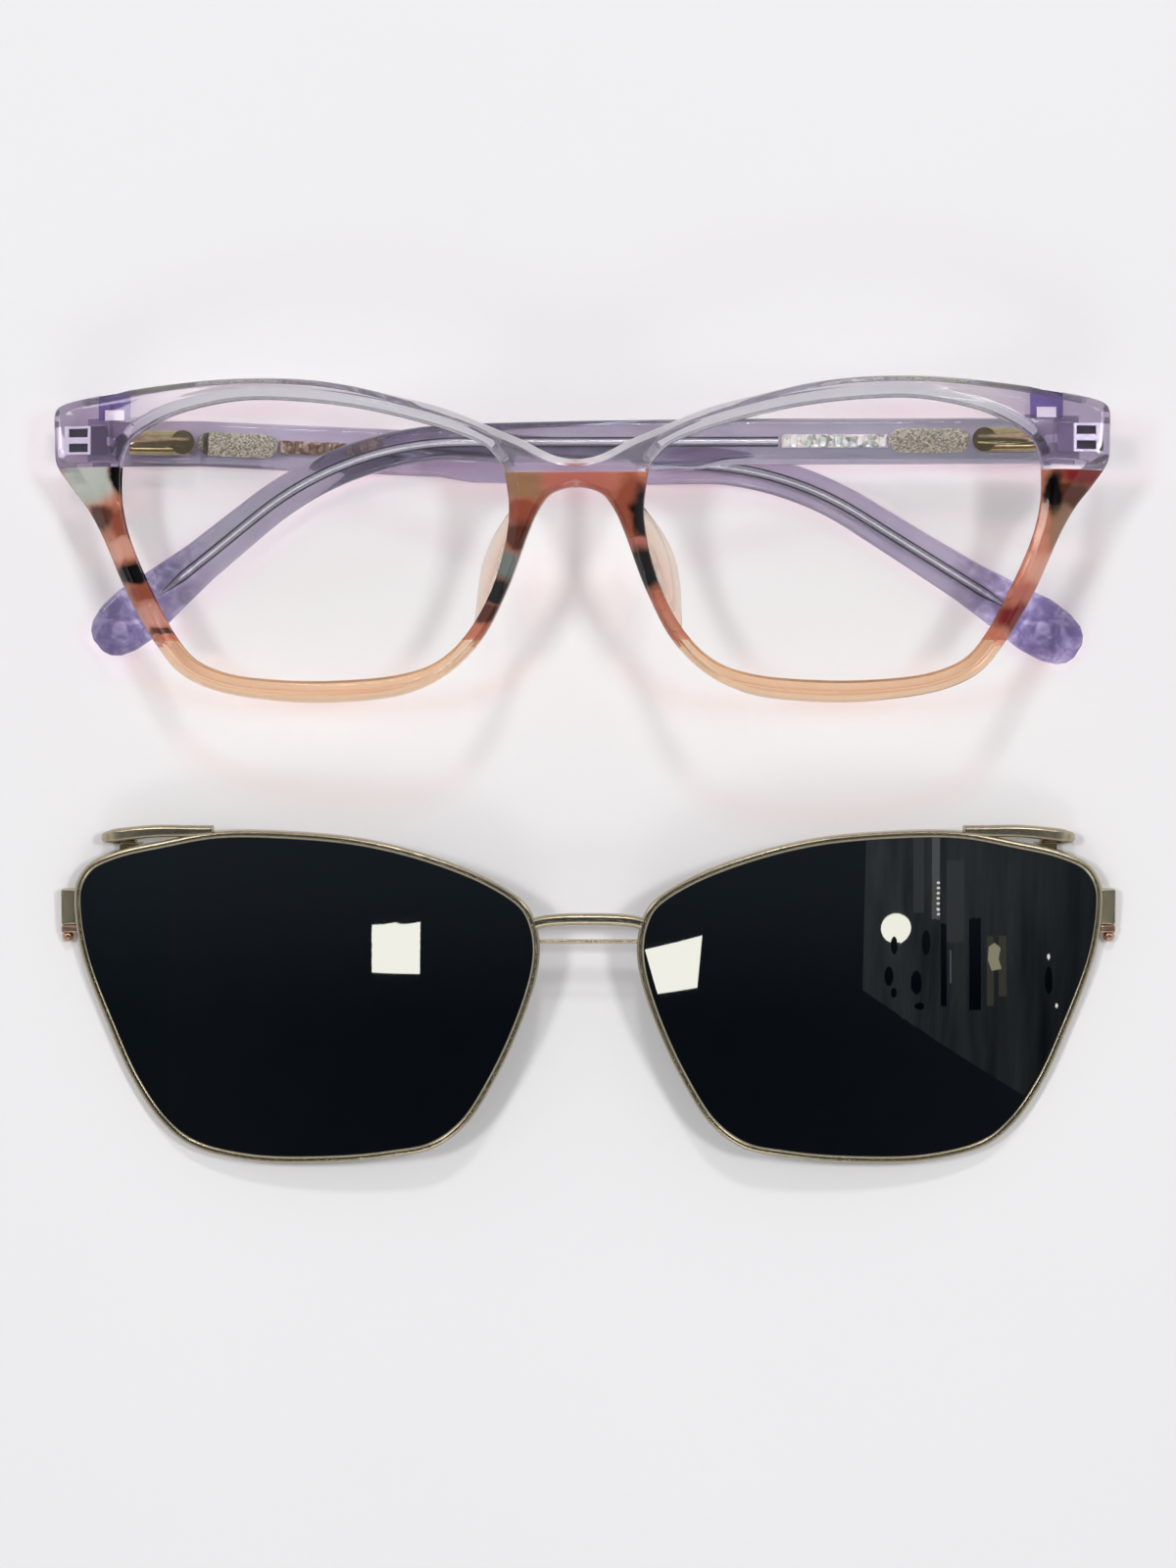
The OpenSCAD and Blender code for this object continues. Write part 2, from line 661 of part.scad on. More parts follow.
// Clip in the frame of the glasses that it is worn on
clip_loop = [for (q = ring_curve([for (i = [len(clip_rows) - 1 : -1 : 0]) clip_rows[i]], curve_steps))
    [q[0] * ku, q[1] * kv]];
clip_n = len(clip_loop);
clip_back = clip_gap;
clip_front = clip_gap + wire_depth;
tint_mid = clip_gap + wire_depth * tint_depth;
module clip_rim_wire() {
    c = rim_edge;
    skin([for (i = [0 : clip_n - 1])
        let (o = clip_loop[i], n = -loop_normal(clip_loop, i), q = o + n * wire_w)
        let (g = o + n * (wire_w - tint_grip), ta = tint_mid - tint_t / 2, tb = tint_mid + tint_t / 2)
        [
            at(o, clip_back + c), at(o + n * c, clip_back), at(q - n * c, clip_back),
            at(q, clip_back + c), at(q, ta), at(g, ta), at(g, tb), at(q, tb),
            at(q, clip_front - c), at(q - n * c, clip_front), at(o + n * c, clip_front),
            at(o, clip_front - c),
        ]], close_loop = true);
}
module clip_tint() {
    loop = [for (i = [0 : clip_n - 1])
        clip_loop[i] - loop_normal(clip_loop, i) * (wire_w - tint_grip + tiny)];
    bowed(loop, tint_mid + tint_t / 2 - tint_play, tint_mid - tint_t / 2 + tint_play);
}
module lock_block() {
    translate([clip_end_u - lock_in, lock_v * kv - lock_h / 2, lock_w - lock_d / 2])
        cube([lock_out + lock_in, lock_h, lock_d]);
}
clip_end_u = clip_rows[lock_row][0] * ku;
lock_w = clip_back + lock_up - sag(clip_end_u);
lock_u = clip_end_u + lock_out / 2 + lock_step;
module lock_shaft(r, lo, hi) {
    translate([lock_u, lock_v * kv + hi, lock_w]) rotate([90, 0, 0]) cylinder(r = r, h = hi - lo);
}
module clip_rim() {
    difference() {
        union() {
            clip_rim_wire();
            lock_block();
        }
        lock_shaft(lock_screw_r, -lock_h, lock_h / 2 - lock_floor);
        translate([lock_u - lock_out / 2 + lock_step, lock_v * kv + lock_cut - lock_slit / 2,
            lock_w - lock_d])
            cube([lock_out, lock_slit, 2 * lock_d]);
    }
}
module lock_screw() {
    lock_shaft(lock_screw_r, -lock_h / 2 - head_in, lock_h / 2 - lock_floor);
    difference() {
        translate([lock_u, lock_v * kv - lock_h / 2 - lock_head_h / 2, lock_w])
            sphere(r = lock_head_r);
        translate([lock_u - lock_slot / 2, lock_v * kv - lock_h / 2, lock_w - lock_slot / 2])
            cube([lock_slot, lock_slot / 2, lock_slot]);
    }
}
// Strap with a rectangular section of rounded edges, turned with its path in the u-w plane
function strap_ring(p, dir, t, d) =
    let (n = unit([-dir[2], dir[0]]), c = arm_edge)
    [for (q = [
        [d / 2 - c, t / 2], [d / 2, t / 2 - c], [d / 2, -t / 2 + c], [d / 2 - c, -t / 2],
        [-d / 2 + c, -t / 2], [-d / 2, -t / 2 + c], [-d / 2, t / 2 - c], [-d / 2 + c, t / 2]])
        [p[0] + n[0] * q[0], p[1] + q[1], p[2] + n[1] * q[0]]];
clip_mid = clip_gap + wire_depth / 2;
arm_line = open_curve(arm_pts, curve_steps);
arm_path = [for (q = arm_line) [q[0] * ku, q[1] * kv, clip_mid + q[2] - sag(q[0] * ku)]];
post_u = pocket_u + post_step;
post_z = -sag(pocket_u) - pocket_front - pocket_deep / 2;
foot_row = arm_pts[len(arm_pts) - 2];
arm_foot = foot_row[1] * kv - foot_row[3] / 2;
magnet_top = pocket_v + magnet_h;
module clip_arm() {
    m = len(arm_path);
    skin([for (i = [0 : m - 1])
        strap_ring(arm_path[i], arm_path[min(i + 1, m - 1)] - arm_path[max(i - 1, 0)],
            arm_line[i][3], arm_d)]);
}
module clip_post() {
    height = arm_foot - magnet_top - clip_magnet_h;
    translate([post_u - post_w / 2, arm_foot - height, post_z - post_d / 2])
        cube([post_w, height, post_d]);
}
module clip_magnet() {
    translate([post_u, magnet_top + clip_magnet_h, post_z]) rotate([90, 0, 0])
        cylinder(r = clip_magnet_r, h = clip_magnet_h - fit_gap);
}
module clip_bridge() {
    count = len(bridge_pts);
    beyond = [-bridge_pts[count - 2][0], bridge_pts[count - 2][1]];
    half = open_curve(concat([bridge_lead], bridge_pts, [beyond]), curve_steps);
    path = concat(half, [for (i = [len(half) - 2 : -1 : 0]) [-half[i][0], half[i][1]]]);
    m = len(path);
    skin([for (i = [m - 1 : -1 : 0])
        let (n = unit(left_of(path[min(i + 1, m - 1)] - path[max(i - 1, 0)])))
        let (c = bridge_edge, h = bridge_h / 2, d = bridge_t / 2, p = path[i])
        [for (q = [[h - c, d], [h, d - c], [h, c - d], [h - c, -d], [c - h, -d], [-h, c - d],
            [-h, d - c], [c - h, d]])
            [(p[0] + n[0] * q[0]) * ku, (p[1] + n[1] * q[0]) * kv, clip_mid + q[1]]]]);
}
module clip_bar() {
    half = bar_half * ku;
    translate([-half, bar_y * kv, clip_back + bar_up]) rotate([0, 90, 0]) cylinder(r = bar_r, h = 2 * half);
}

// Lay-out on the table
roll = stand_off_left;
front_pts = [for (i = [0 : front_n - 1], p = front_ring(i)) p];
glasses_right = max([for (p = front_pts) p[0] * cos(roll) - p[2] * sin(roll)]);
glasses_left = max([for (p = front_pts) p[0] * cos(roll) + p[2] * sin(roll)]);
clip_half = clip_end_u + lock_out;
left_reach = max(glasses_left + side_step, clip_half);
right_reach = max(glasses_right - side_step, clip_half);
clip_x = (left_reach - right_reach) / 2;
glasses_x = clip_x - side_step;
glasses_top = max([for (p = outer_loop) p[1]]);
clip_pts = [for (p = clip_loop, w = [clip_back, clip_front]) at(p, w)];
clip_bottom = -min([for (p = clip_pts) p[1] * cos(clip_pitch) - p[2] * sin(clip_pitch)]);
glasses_y = (row_gap + clip_bottom - glasses_top) / 2;
clip_y = glasses_y - row_gap;
pin_z = inner_off + temple_t;
glasses_z = pin_z + axis_u * sin(roll) - pin_w * cos(roll);
post_low = (magnet_top + clip_magnet_h) * sin(clip_pitch)
    + (post_z - clip_magnet_r) * cos(clip_pitch);
rim_low = min([for (p = clip_pts) p[1] * sin(clip_pitch) + p[2] * cos(clip_pitch)]);
clip_z = -min(rim_low, post_low);
module glasses() {
    translate([glasses_x, glasses_y, glasses_z]) rotate([0, -roll, 0]) children();
}
module hinged_left() {
    glasses() translate([-axis_u, hinge_v, pin_w]) rotate([0, stand_off_left, 0]) children();
}
module hinged_right() {
    glasses() mirror([1, 0, 0]) translate([-axis_u, hinge_v, pin_w]) rotate([0, -lean_right, 0])
        children();
}
module clip() {
    translate([clip_x, clip_y, clip_z]) rotate([clip_pitch, 0, 0]) children();
}
module flip() {
    mirror([1, 0, 0]) children();
}

// Nodes
module front_upper() {
    color(lavender) glasses() front_upper_solid();
}
module front_middle() {
    color(marble) glasses() layer(lower_split * kv, upper_split * kv) front_blank();
}
module front_lower() {
    color(peach) glasses() layer(-big, lower_split * kv) front_blank();
}
module lens_left() {
    color(clear) glasses() flip() demo_lens();
}
module lens_right() {
    color(clear) glasses() demo_lens();
}
module nose_pad_left() {
    color(clear) glasses() flip() nose_pad();
}
module nose_pad_right() {
    color(clear) glasses() nose_pad();
}
module hinge_plate_left() {
    color(steel) glasses() flip() hinge_plate();
}
module hinge_plate_right() {
    color(steel) glasses() hinge_plate();
}
module hinge_screw_left() {
    color(steel) glasses() flip() hinge_screw();
}
module hinge_screw_right() {
    color(steel) glasses() hinge_screw();
}
module frame_magnet_left() {
    color(magnet_grey) glasses() flip() frame_magnet();
}
module frame_magnet_right() {
    color(magnet_grey) glasses() frame_magnet();
}
module temple_left() {
    color(lavender) hinged_left() temple(droop_left, bend_left);
}
module temple_right() {
    color(lavender) hinged_right() temple(0, bend_right);
}
module core_wire_left() {
    color(steel) hinged_left() core(droop_left, bend_left);
}
module core_wire_right() {
    color(steel) hinged_right() core(0, bend_right);
}
module spring_housing_left() {
    color(gold) hinged_left() housing();
}
module spring_housing_right() {
    color(gold) hinged_right() housing();
}
module glitter_inlay_left() {
    color(glitter_col) hinged_left() glitter_plate(droop_left);
}
module glitter_inlay_right() {
    color(glitter_col) hinged_right() glitter_plate(0);
}
module stone_row_left() {
    color(stone_col) hinged_left() stones(droop_left);
}
module stone_row_right() {
    color(stone_col) hinged_right() stones(0);
}
module hinge_slider_left() {
    color(steel) hinged_left() slider();
}
module hinge_slider_right() {
    color(steel) hinged_right() slider();
}
module guide_rod_left() {
    color(steel) hinged_left() guide_rod();
}
module guide_rod_right() {
    color(steel) hinged_right() guide_rod();
}
module flex_spring_left() {
    color(steel) hinged_left() spring();
}
module flex_spring_right() {
    color(steel) hinged_right() spring();
}
module clip_rim_left() {
    color(gold) clip() flip() clip_rim();
}
module clip_rim_right() {
    color(gold) clip() clip_rim();
}
module clip_lens_left() {
    color(smoke) clip() flip() clip_tint();
}
module clip_lens_right() {
    color(smoke) clip() clip_tint();
}
module clip_bridge_arch() {
    color(gold) clip() clip_bridge();
}
module clip_lower_bar() {
    color(gold) clip() clip_bar();
}
module clip_arm_left() {
    color(gold) clip() flip() clip_arm();
}
module clip_arm_right() {
    color(gold) clip() clip_arm();
}
module clip_post_left() {
    color(gold) clip() flip() clip_post();
}
module clip_post_right() {
    color(gold) clip() clip_post();
}
module clip_magnet_left() {
    color(magnet_grey) clip() flip() clip_magnet();
}
module clip_magnet_right() {
    color(magnet_grey) clip() clip_magnet();
}
module rim_screw_left() {
    color(gold) clip() flip() lock_screw();
}
module rim_screw_right() {
    color(gold) clip() lock_screw();
}

front_upper();
front_middle();
front_lower();
lens_left();
lens_right();
nose_pad_left();
nose_pad_right();
hinge_plate_left();
hinge_plate_right();
hinge_screw_left();
hinge_screw_right();
frame_magnet_left();
frame_magnet_right();
temple_left();
temple_right();
core_wire_left();
core_wire_right();
spring_housing_left();
spring_housing_right();
glitter_inlay_left();
glitter_inlay_right();
stone_row_left();
stone_row_right();
hinge_slider_left();
hinge_slider_right();
guide_rod_left();
guide_rod_right();
flex_spring_left();
flex_spring_right();
clip_rim_left();
clip_rim_right();
clip_lens_left();
clip_lens_right();
clip_bridge_arch();
clip_lower_bar();
clip_arm_left();
clip_arm_right();
clip_post_left();
clip_post_right();
clip_magnet_left();
clip_magnet_right();
rim_screw_left();
rim_screw_right();
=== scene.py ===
import json
import math
import random
from contextlib import contextmanager

import bmesh
import bpy
import numpy as np
from mathutils import Matrix, Vector

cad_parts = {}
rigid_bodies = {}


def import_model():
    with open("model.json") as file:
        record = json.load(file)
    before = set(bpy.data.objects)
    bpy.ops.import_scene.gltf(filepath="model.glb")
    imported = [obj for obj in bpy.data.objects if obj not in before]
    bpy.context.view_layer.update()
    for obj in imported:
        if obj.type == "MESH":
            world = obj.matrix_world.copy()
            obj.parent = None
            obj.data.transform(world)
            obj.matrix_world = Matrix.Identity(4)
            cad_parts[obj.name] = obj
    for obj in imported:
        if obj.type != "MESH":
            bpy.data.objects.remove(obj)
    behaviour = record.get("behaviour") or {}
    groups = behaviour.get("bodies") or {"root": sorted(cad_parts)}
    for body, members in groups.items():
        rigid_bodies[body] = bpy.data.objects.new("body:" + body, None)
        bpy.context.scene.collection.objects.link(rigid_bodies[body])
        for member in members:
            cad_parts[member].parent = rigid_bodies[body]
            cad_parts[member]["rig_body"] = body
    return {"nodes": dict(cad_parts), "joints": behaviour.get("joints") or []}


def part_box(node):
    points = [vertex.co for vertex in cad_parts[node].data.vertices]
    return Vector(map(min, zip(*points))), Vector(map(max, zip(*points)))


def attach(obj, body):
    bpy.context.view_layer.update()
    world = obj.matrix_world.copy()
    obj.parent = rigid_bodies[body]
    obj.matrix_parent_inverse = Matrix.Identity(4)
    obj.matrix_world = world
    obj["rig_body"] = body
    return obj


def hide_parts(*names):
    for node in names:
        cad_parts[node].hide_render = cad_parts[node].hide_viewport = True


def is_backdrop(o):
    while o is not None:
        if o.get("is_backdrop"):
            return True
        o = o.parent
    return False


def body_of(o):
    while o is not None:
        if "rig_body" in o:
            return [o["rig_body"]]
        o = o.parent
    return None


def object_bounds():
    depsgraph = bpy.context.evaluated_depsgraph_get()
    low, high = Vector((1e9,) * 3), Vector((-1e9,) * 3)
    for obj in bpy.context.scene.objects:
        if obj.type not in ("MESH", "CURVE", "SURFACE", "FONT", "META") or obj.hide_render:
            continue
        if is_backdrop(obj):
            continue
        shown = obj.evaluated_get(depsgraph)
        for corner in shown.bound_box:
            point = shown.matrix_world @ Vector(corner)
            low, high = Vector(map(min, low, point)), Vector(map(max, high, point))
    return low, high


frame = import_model()
size_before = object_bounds()
random.seed(7)
MM = 0.001
SIDES = ("left", "right")


# ---- sizes in mm, as in the source
# Glasses and clip are drawn in their own frames: u across, v up the picture, w out of the face.
# A temple is drawn in its own frame too: s along it from the hinge pin, then up, then out.
def sag(u):
    """How far the bow has fallen at u."""
    return BOW_R - math.sqrt(BOW_R * BOW_R - u * u)


FRONT_H, DRAWN_H = 41, 40.6
KV = FRONT_H / DRAWN_H
BOW_R, RIM_T, FRONT_HALF = 285.0, 4.0, 67.2
UPPER_SPLIT, LOWER_SPLIT = 9.4 * KV, -12.6 * KV
RIDGE_W, INNER_FALL, OUTER_FALL, CROWN_FALL = 1.3, 0.8, 1.3, 0.25
EDGE_FOLLOW, BEVEL_BASE, BACK_ROUND, INNER_ROUND = 0.5, 0.8, 0.5, 0.4
GROOVE_D, GROOVE_FRONT, GROOVE_W = 0.5, 1.35, 1.7
LENS_FRONT, LENS_T, LENS_GRIP = 1.4, 1.6, 0.48
SEAT_T, SEAT_IN, PIN_BACK, HINGE_IN = 1.6, 2, 1.45, 6
BUTT_W = -sag(FRONT_HALF) - RIM_T - SEAT_T
PIN_W, AXIS_U, HINGE_V = BUTT_W - PIN_BACK, FRONT_HALF - HINGE_IN, 13 * KV
WINDOW_IN, WINDOW_U, WINDOW_V, WINDOW_STEP = 1.4, 2.5, 1.1, 0.95
POCKET_U, POCKET_HALF, POCKET_V, POCKET_FRONT, POCKET_DEEP = 59, 2.1, 15.2 * KV, 1.1, 2.1

INNER_OFF, TEMPLE_T, TEMPLE_LEN, BUTT = 1.5, 3.6, 133.0, 1.35
LEVEL_S, BEND_START, BEND_R, TIP_BLEND, PADDLE_END = 12.0, 76.5, 42.0, 24, 3.4
TEMPLE_EDGE, TEMPLE_BEVEL = 0.5, 0.9
TIP_S = TEMPLE_LEN - BUTT
DROOP = {"left": math.radians(2.4), "right": 0.0}
BEND = {"left": math.radians(29.6), "right": math.radians(39)}
CORE_R, CORE_START, CORE_SHORT, CORE_POINT, CORE_DEEP = 0.65, 36, 10, 4, 2.1
STONE_S, STONE_PITCH, STONE_COUNT, STONE_MARGIN, STONE_HALF = 22.0, 0.955, 14, 0.1, 0.87
STONE_PLATE_T, BED_W = 0.45, -INNER_OFF - 1.4

CLIP_GAP, WIRE_W, WIRE_D, CLIP_PITCH = 0.4, 0.95, 2.0, math.radians(6.5)
TINT_T, TINT_GRIP, TINT_PLAY = 1.1, 0.35, 0.03
CLIP_MID, TINT_MID = CLIP_GAP + WIRE_D / 2, CLIP_GAP + WIRE_D * 0.55
BAR_V, BAR_UP = 7.3 * KV, 0.6
LOCK_U, LOCK_V, LOCK_UP, LOCK_IN, LOCK_OUT = 66.5, 10.2 * KV, 0.5, 0.4, 1.7
LOCK_HALF_V, LOCK_HALF_W, SLIT_V, SLIT_HALF = 2.8, 0.9, 1.8, 0.06

# Columns: outer u and v, inner u and v, bevel
FRONT_ROWS = np.array([
    [-2.9, 10.4, 8.7, 6.9, 0.9], [0, 9.9, 9, 8.5, 0.9], [2.9, 10.4, 9.35, 9.3, 0.9],
    [7, 12.4, 10.2, 10.3, 0.9], [9.7, 13.5, 11.5, 11.6, 0.9], [16.7, 16.3, 16, 13.5, 0.8],
    [22.5, 17.8, 21.5, 15.1, 0.8], [29.4, 19.4, 28.6, 16.65, 0.8], [36, 20.2, 36, 17.5, 0.8],
    [44.8, 20.3, 43.2, 17.6, 0.8], [54.2, 19.5, 50.6, 16.2, 0.9], [60.4, 18.6, 54.4, 14.6, 1],
    [66.1, 17.4, 56.9, 13, 1], [67.05, 16.6, 57.45, 12.3, 1], [67.2, 13.4, 57.9, 11.3, 1.1],
    [67, 10, 58.3, 9.9, 1.6], [65.3, 7.3, 58.45, 7.5, 2.4], [62.8, 4.1, 58.3, 4.5, 1.9],
    [61, 1, 57.5, 0.9, 1.2], [57.5, -6.7, 54.5, -6.1, 0.9], [53.9, -12.8, 51.3, -11.9, 0.8],
    [50.8, -16.5, 48.6, -14.9, 0.8], [46.4, -18.7, 44.6, -16.6, 0.8], [38.3, -20.1, 37.8, -17.5, 0.8],
    [30, -20.3, 30.2, -17.6, 0.8], [21.6, -19.3, 22.4, -16.9, 0.8], [16.4, -16.9, 17.8, -15.4, 0.8],
    [12, -12.6, 14.1, -12.2, 0.7], [8.65, -6.2, 10.9, -6.9, 0.7], [5.9, 1.1, 8.9, -0.6, 0.8],
    [4.85, 3.4, 8.5, 2.2, 0.9], [3.1, 5.6, 8.45, 3.8, 0.9], [0, 6.4, 8.5, 5, 0.9],
    [-3.1, 5.6, 8.6, 6, 0.9]], float) * [1, KV, 1, KV, 1]
SEAT_PTS = [(59.7, 10.4), (66.2, 10.1), (66.8, 10.8), (66.8, 16.1), (65.9, 16.9), (59.7, 18.1)]
# Columns: v, outer u at the front, inner u at the front, inner u at the back, height
PAD_ROWS = np.array([
    [4.2, 6, 8.2, 8.3, 1.2], [3, 5.9, 8.2, 9.3, 3.2], [0.6, 6.6, 8.6, 11, 5], [-2.4, 7.6, 9, 12.3, 5.8],
    [-5.6, 8.8, 10, 12.9, 5.4], [-8.4, 10.1, 11.3, 13.1, 4], [-10.4, 11.3, 12.6, 13.2, 2],
    [-11.3, 12, 13, 13.1, 0.8]], float) * [KV, 1, 1, 1, 1]
# Temple: distance along it, then its half height above and below the middle line
UP = ([-2, 40, 60, 80], [2.95, 2.95, 2.75, 2.3])
DOWN = ([-2, 43, 47, 62, 80], [2.95, 2.95, 3.5, 3.2, 2.3])
# Temple: distance from its end, then half height and how much thinner each face is
TIP = ([0, 0.5, 1.4, 3.4, 6.5, 11, 17, 26, 40, 60], [1.1, 2.1, 2.9, 3.6, 3.85, 3.3, 2.75, 2.5, 2.3, 2.3])
THIN = ([0, 0.5, 1.4, 3.4, 6.5], [0.95, 0.65, 0.4, 0.15, 0])
# Temple: distance along it, then how far its inner face steps back
INNER = ([-2, 13, 24, 40], [0, 0, 0.4, 0.6])
# Columns: u and v of the clip rim's outline
CLIP_ROWS = np.array([
    [6.2, 6.8], [6.6, 3], [8.6, -3.2], [11.9, -10.3], [15.7, -16.2], [19.9, -19.3], [25.3, -20.5],
    [32.5, -21.3], [43.5, -21.4], [51.3, -19.7], [55.1, -16.9], [58.9, -11.6], [62.3, -4.2],
    [65.5, 4.3], [66.5, 10.3], [66.3, 13.6], [64.6, 16.3], [61, 18.1], [55, 19.6], [47.8, 21],
    [39.2, 21.15], [29.1, 20.35], [20.3, 18.3], [12.6, 15.3], [8.1, 12.3], [6.8, 10]],
    float)[::-1] * [1, KV]
# Columns: u, v, height over the rim's middle, thickness
STRAP_ROWS = np.array([
    [46.3, 21.3, 0.5, 1.2], [48.2, 21.14, 0.5, 1.25], [51, 20.97, 0.4, 1.45], [55.6, 20.8, 0.2, 1.6],
    [59.2, 20.35, -0.1, 1.7], [61.4, 19.95, -0.5, 1.7], [62.3, 19.65, -1.3, 1.35],
    [62.35, 19.55, -2.4, 1.35], [61.2, 19.55, -3.3, 1.9], [58.6, 19.6, -3.6, 1.6],
    [56.4, 19.7, -3.6, 1.3]]) * [1, KV, 1, 1]
STRAP_D, STRAP_EDGE = 1.3, 0.3
ARCH_PTS = np.array([[8.5, 9], [7, 9.6], [5.6, 9.95], [4.2, 10.1], [2, 10.2], [0, 10.2], [-2, 10.2]])
ARCH_HALF_H, ARCH_HALF_T, ARCH_EDGE = 0.75, 0.85, 0.35

# ---- where each frame lies in the part
joints = {j["name"]: j for j in frame["joints"]}
pin_l = Vector(joints["temple_left_fold"]["pos_m"]) / MM
pin_r = Vector(joints["temple_right_fold"]["pos_m"]) / MM
roll = math.atan2(pin_r.z - pin_l.z, pin_r.x - pin_l.x)
GLASSES = (Matrix.Translation((pin_l + pin_r) / 2) @ Matrix.Rotation(-roll, 4, "Y")
           @ Matrix.Translation((0, -HINGE_V, -PIN_W)))
bar_lo, bar_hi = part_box("clip_lower_bar")
bar_mid = (Vector(bar_lo) + Vector(bar_hi)) / 2 / MM
CLIP = (Matrix.Translation(bar_mid) @ Matrix.Rotation(CLIP_PITCH, 4, "X")
        @ Matrix.Translation((0, -BAR_V, -(CLIP_GAP + BAR_UP))))
FLIP = Matrix.Diagonal((-1, 1, 1, 1))
lean = math.radians(joints["temple_right_fold"]["range_deg"][1] - 90)
HINGED = {"left": Matrix.Translation(pin_l),
          "right": (GLASSES @ FLIP @ Matrix.Translation((-AXIS_U, HINGE_V, PIN_W))
                    @ Matrix.Rotation(-lean, 4, "Y"))}
ON_GLASSES = {"left": GLASSES @ FLIP, "right": GLASSES}
ON_CLIP = {"left": CLIP @ FLIP, "right": CLIP}


# ---- curves and meshes
def knot(a, b):
    return max(math.sqrt(math.hypot(b[0] - a[0], b[1] - a[1])), 0.01)


def spline(p0, p1, p2, p3, t):
    """Centripetal spline between p1 and p2."""
    t1 = knot(p0, p1)
    t2 = t1 + knot(p1, p2)
    t3 = t2 + knot(p2, p3)
    x = t1 + (t2 - t1) * t
    a1 = (p0 * (t1 - x) + p1 * x) / t1
    a2 = (p1 * (t2 - x) + p2 * (x - t1)) / (t2 - t1)
    a3 = (p2 * (t3 - x) + p3 * (x - t2)) / (t3 - t2)
    b1 = (a1 * (t2 - x) + a2 * x) / t2
    b2 = (a2 * (t3 - x) + a3 * (x - t1)) / (t3 - t1)
    return (b1 * (t2 - x) + b2 * (x - t1)) / (t2 - t1)


def open_curve(p, n):
    """n steps to each span; the first and last points only steer."""
    out = [spline(p[i - 1], p[i], p[i + 1], p[i + 2], k / n) for i in range(1, len(p) - 2) for k in range(n)]
    return np.array(out + [p[-2]])


def ring_curve(p, n):
    m = len(p)
    return np.array([spline(p[i - 1], p[i], p[(i + 1) % m], p[(i + 2) % m], k / n)
                     for i in range(m) for k in range(n)])


def unit(v):
    v = np.asarray(v, float)
    return v / max(np.linalg.norm(v), 1e-9)


def loop_normals(p):
    """Outward normals of a closed clockwise loop."""
    d = np.roll(p, -1, 0) - np.roll(p, 1, 0)
    n = np.stack([-d[:, 1], d[:, 0]], 1)
    return n / np.linalg.norm(n, axis=1)[:, None]


def on_bow(p, w):
    """Place of u, v at height w over the bowed face."""
    return np.array([p[0], p[1], w - sag(p[0])])


def rounded(pts, radii, steps=3):
    """Closed section with each corner rounded by a short curve, up to most of half a side."""
    longest = 0.42
    pts, out = np.array(pts), []
    for i, p in enumerate(pts):
        a, b = pts[i - 1], pts[(i + 1) % len(pts)]
        r = radii[i] if hasattr(radii, "__len__") else radii
        if r <= 0:
            out.append(p)
            continue
        pa = p + (a - p) * min(r / max(np.linalg.norm(a - p), 1e-6), longest)
        pb = p + (b - p) * min(r / max(np.linalg.norm(b - p), 1e-6), longest)
        for k in range(steps + 1):
            t = k / steps
            out.append(pa * (1 - t) ** 2 + p * 2 * t * (1 - t) + pb * t * t)
    return np.array(out)


def chamfered(h, w, c):
    """Rectangle of half sides h and w with its corners cut by c."""
    return [(h - c, w), (h, w - c), (h, c - w), (h - c, -w), (c - h, -w), (-h, c - w), (-h, w - c), (c - h, w)]


def added(name, data):
    o = bpy.data.objects.new(name, data)
    bpy.context.scene.collection.objects.link(o)
    return o


@contextmanager
def editing(mesh, result=None):
    """Edits a mesh, and writes it back or into another one."""
    bm = bmesh.new()
    bm.from_mesh(mesh)
    yield bm
    bm.to_mesh(mesh if result is None else result)
    bm.free()


def local_object(name, verts, faces):
    """Closed mesh in mm in its own frame."""
    me = bpy.data.meshes.new(name)
    me.from_pydata([tuple(map(float, v)) for v in verts], [], [tuple(f) for f in faces])
    with editing(me) as bm:
        bmesh.ops.remove_doubles(bm, verts=bm.verts, dist=1e-4)
        bmesh.ops.recalc_face_normals(bm, faces=bm.faces)
    return added(name, me)


def combined(o, other, operation):
    """Adds another local mesh or takes it away."""
    m = o.modifiers.new("combine", "BOOLEAN")
    m.operation, m.solver, m.object = operation, "EXACT", other
    me = bpy.data.meshes.new_from_object(o.evaluated_get(bpy.context.evaluated_depsgraph_get()))
    o.modifiers.clear()
    o.data = me
    bpy.data.objects.remove(other)


def joined(o, *others):
    """Several local meshes as one object, without cutting them into each other."""
    me = bpy.data.meshes.new(o.name)
    with editing(o.data, me) as bm:
        for x in others:
            bm.from_mesh(x.data)
    for x in others:
        bpy.data.objects.remove(x)
    o.data = me


def shade_smooth(me, sharp):
    me.polygons.foreach_set("use_smooth", [True] * len(me.polygons))
    me.set_sharp_from_angle(angle=math.radians(sharp))


def placed(o, matrix, body, sharp=38):
    """Puts a local mesh in the part's frame; uvw keeps the local place of each vertex."""
    me = o.data
    here = me.attributes.get("uvw") or me.attributes.new("uvw", "FLOAT_VECTOR", "POINT")
    co = np.empty(len(me.vertices) * 3)
    me.vertices.foreach_get("co", co)
    here.data.foreach_set("vector", co)
    me.transform(Matrix.Diagonal((MM, MM, MM, 1)) @ matrix)
    if matrix.determinant() < 0:
        me.flip_normals()
    shade_smooth(me, sharp)
    me.update()
    w = o.modifiers.new("normals", "WEIGHTED_NORMAL")
    w.weight = 60
    w.keep_sharp = True
    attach(o, body)
    return o


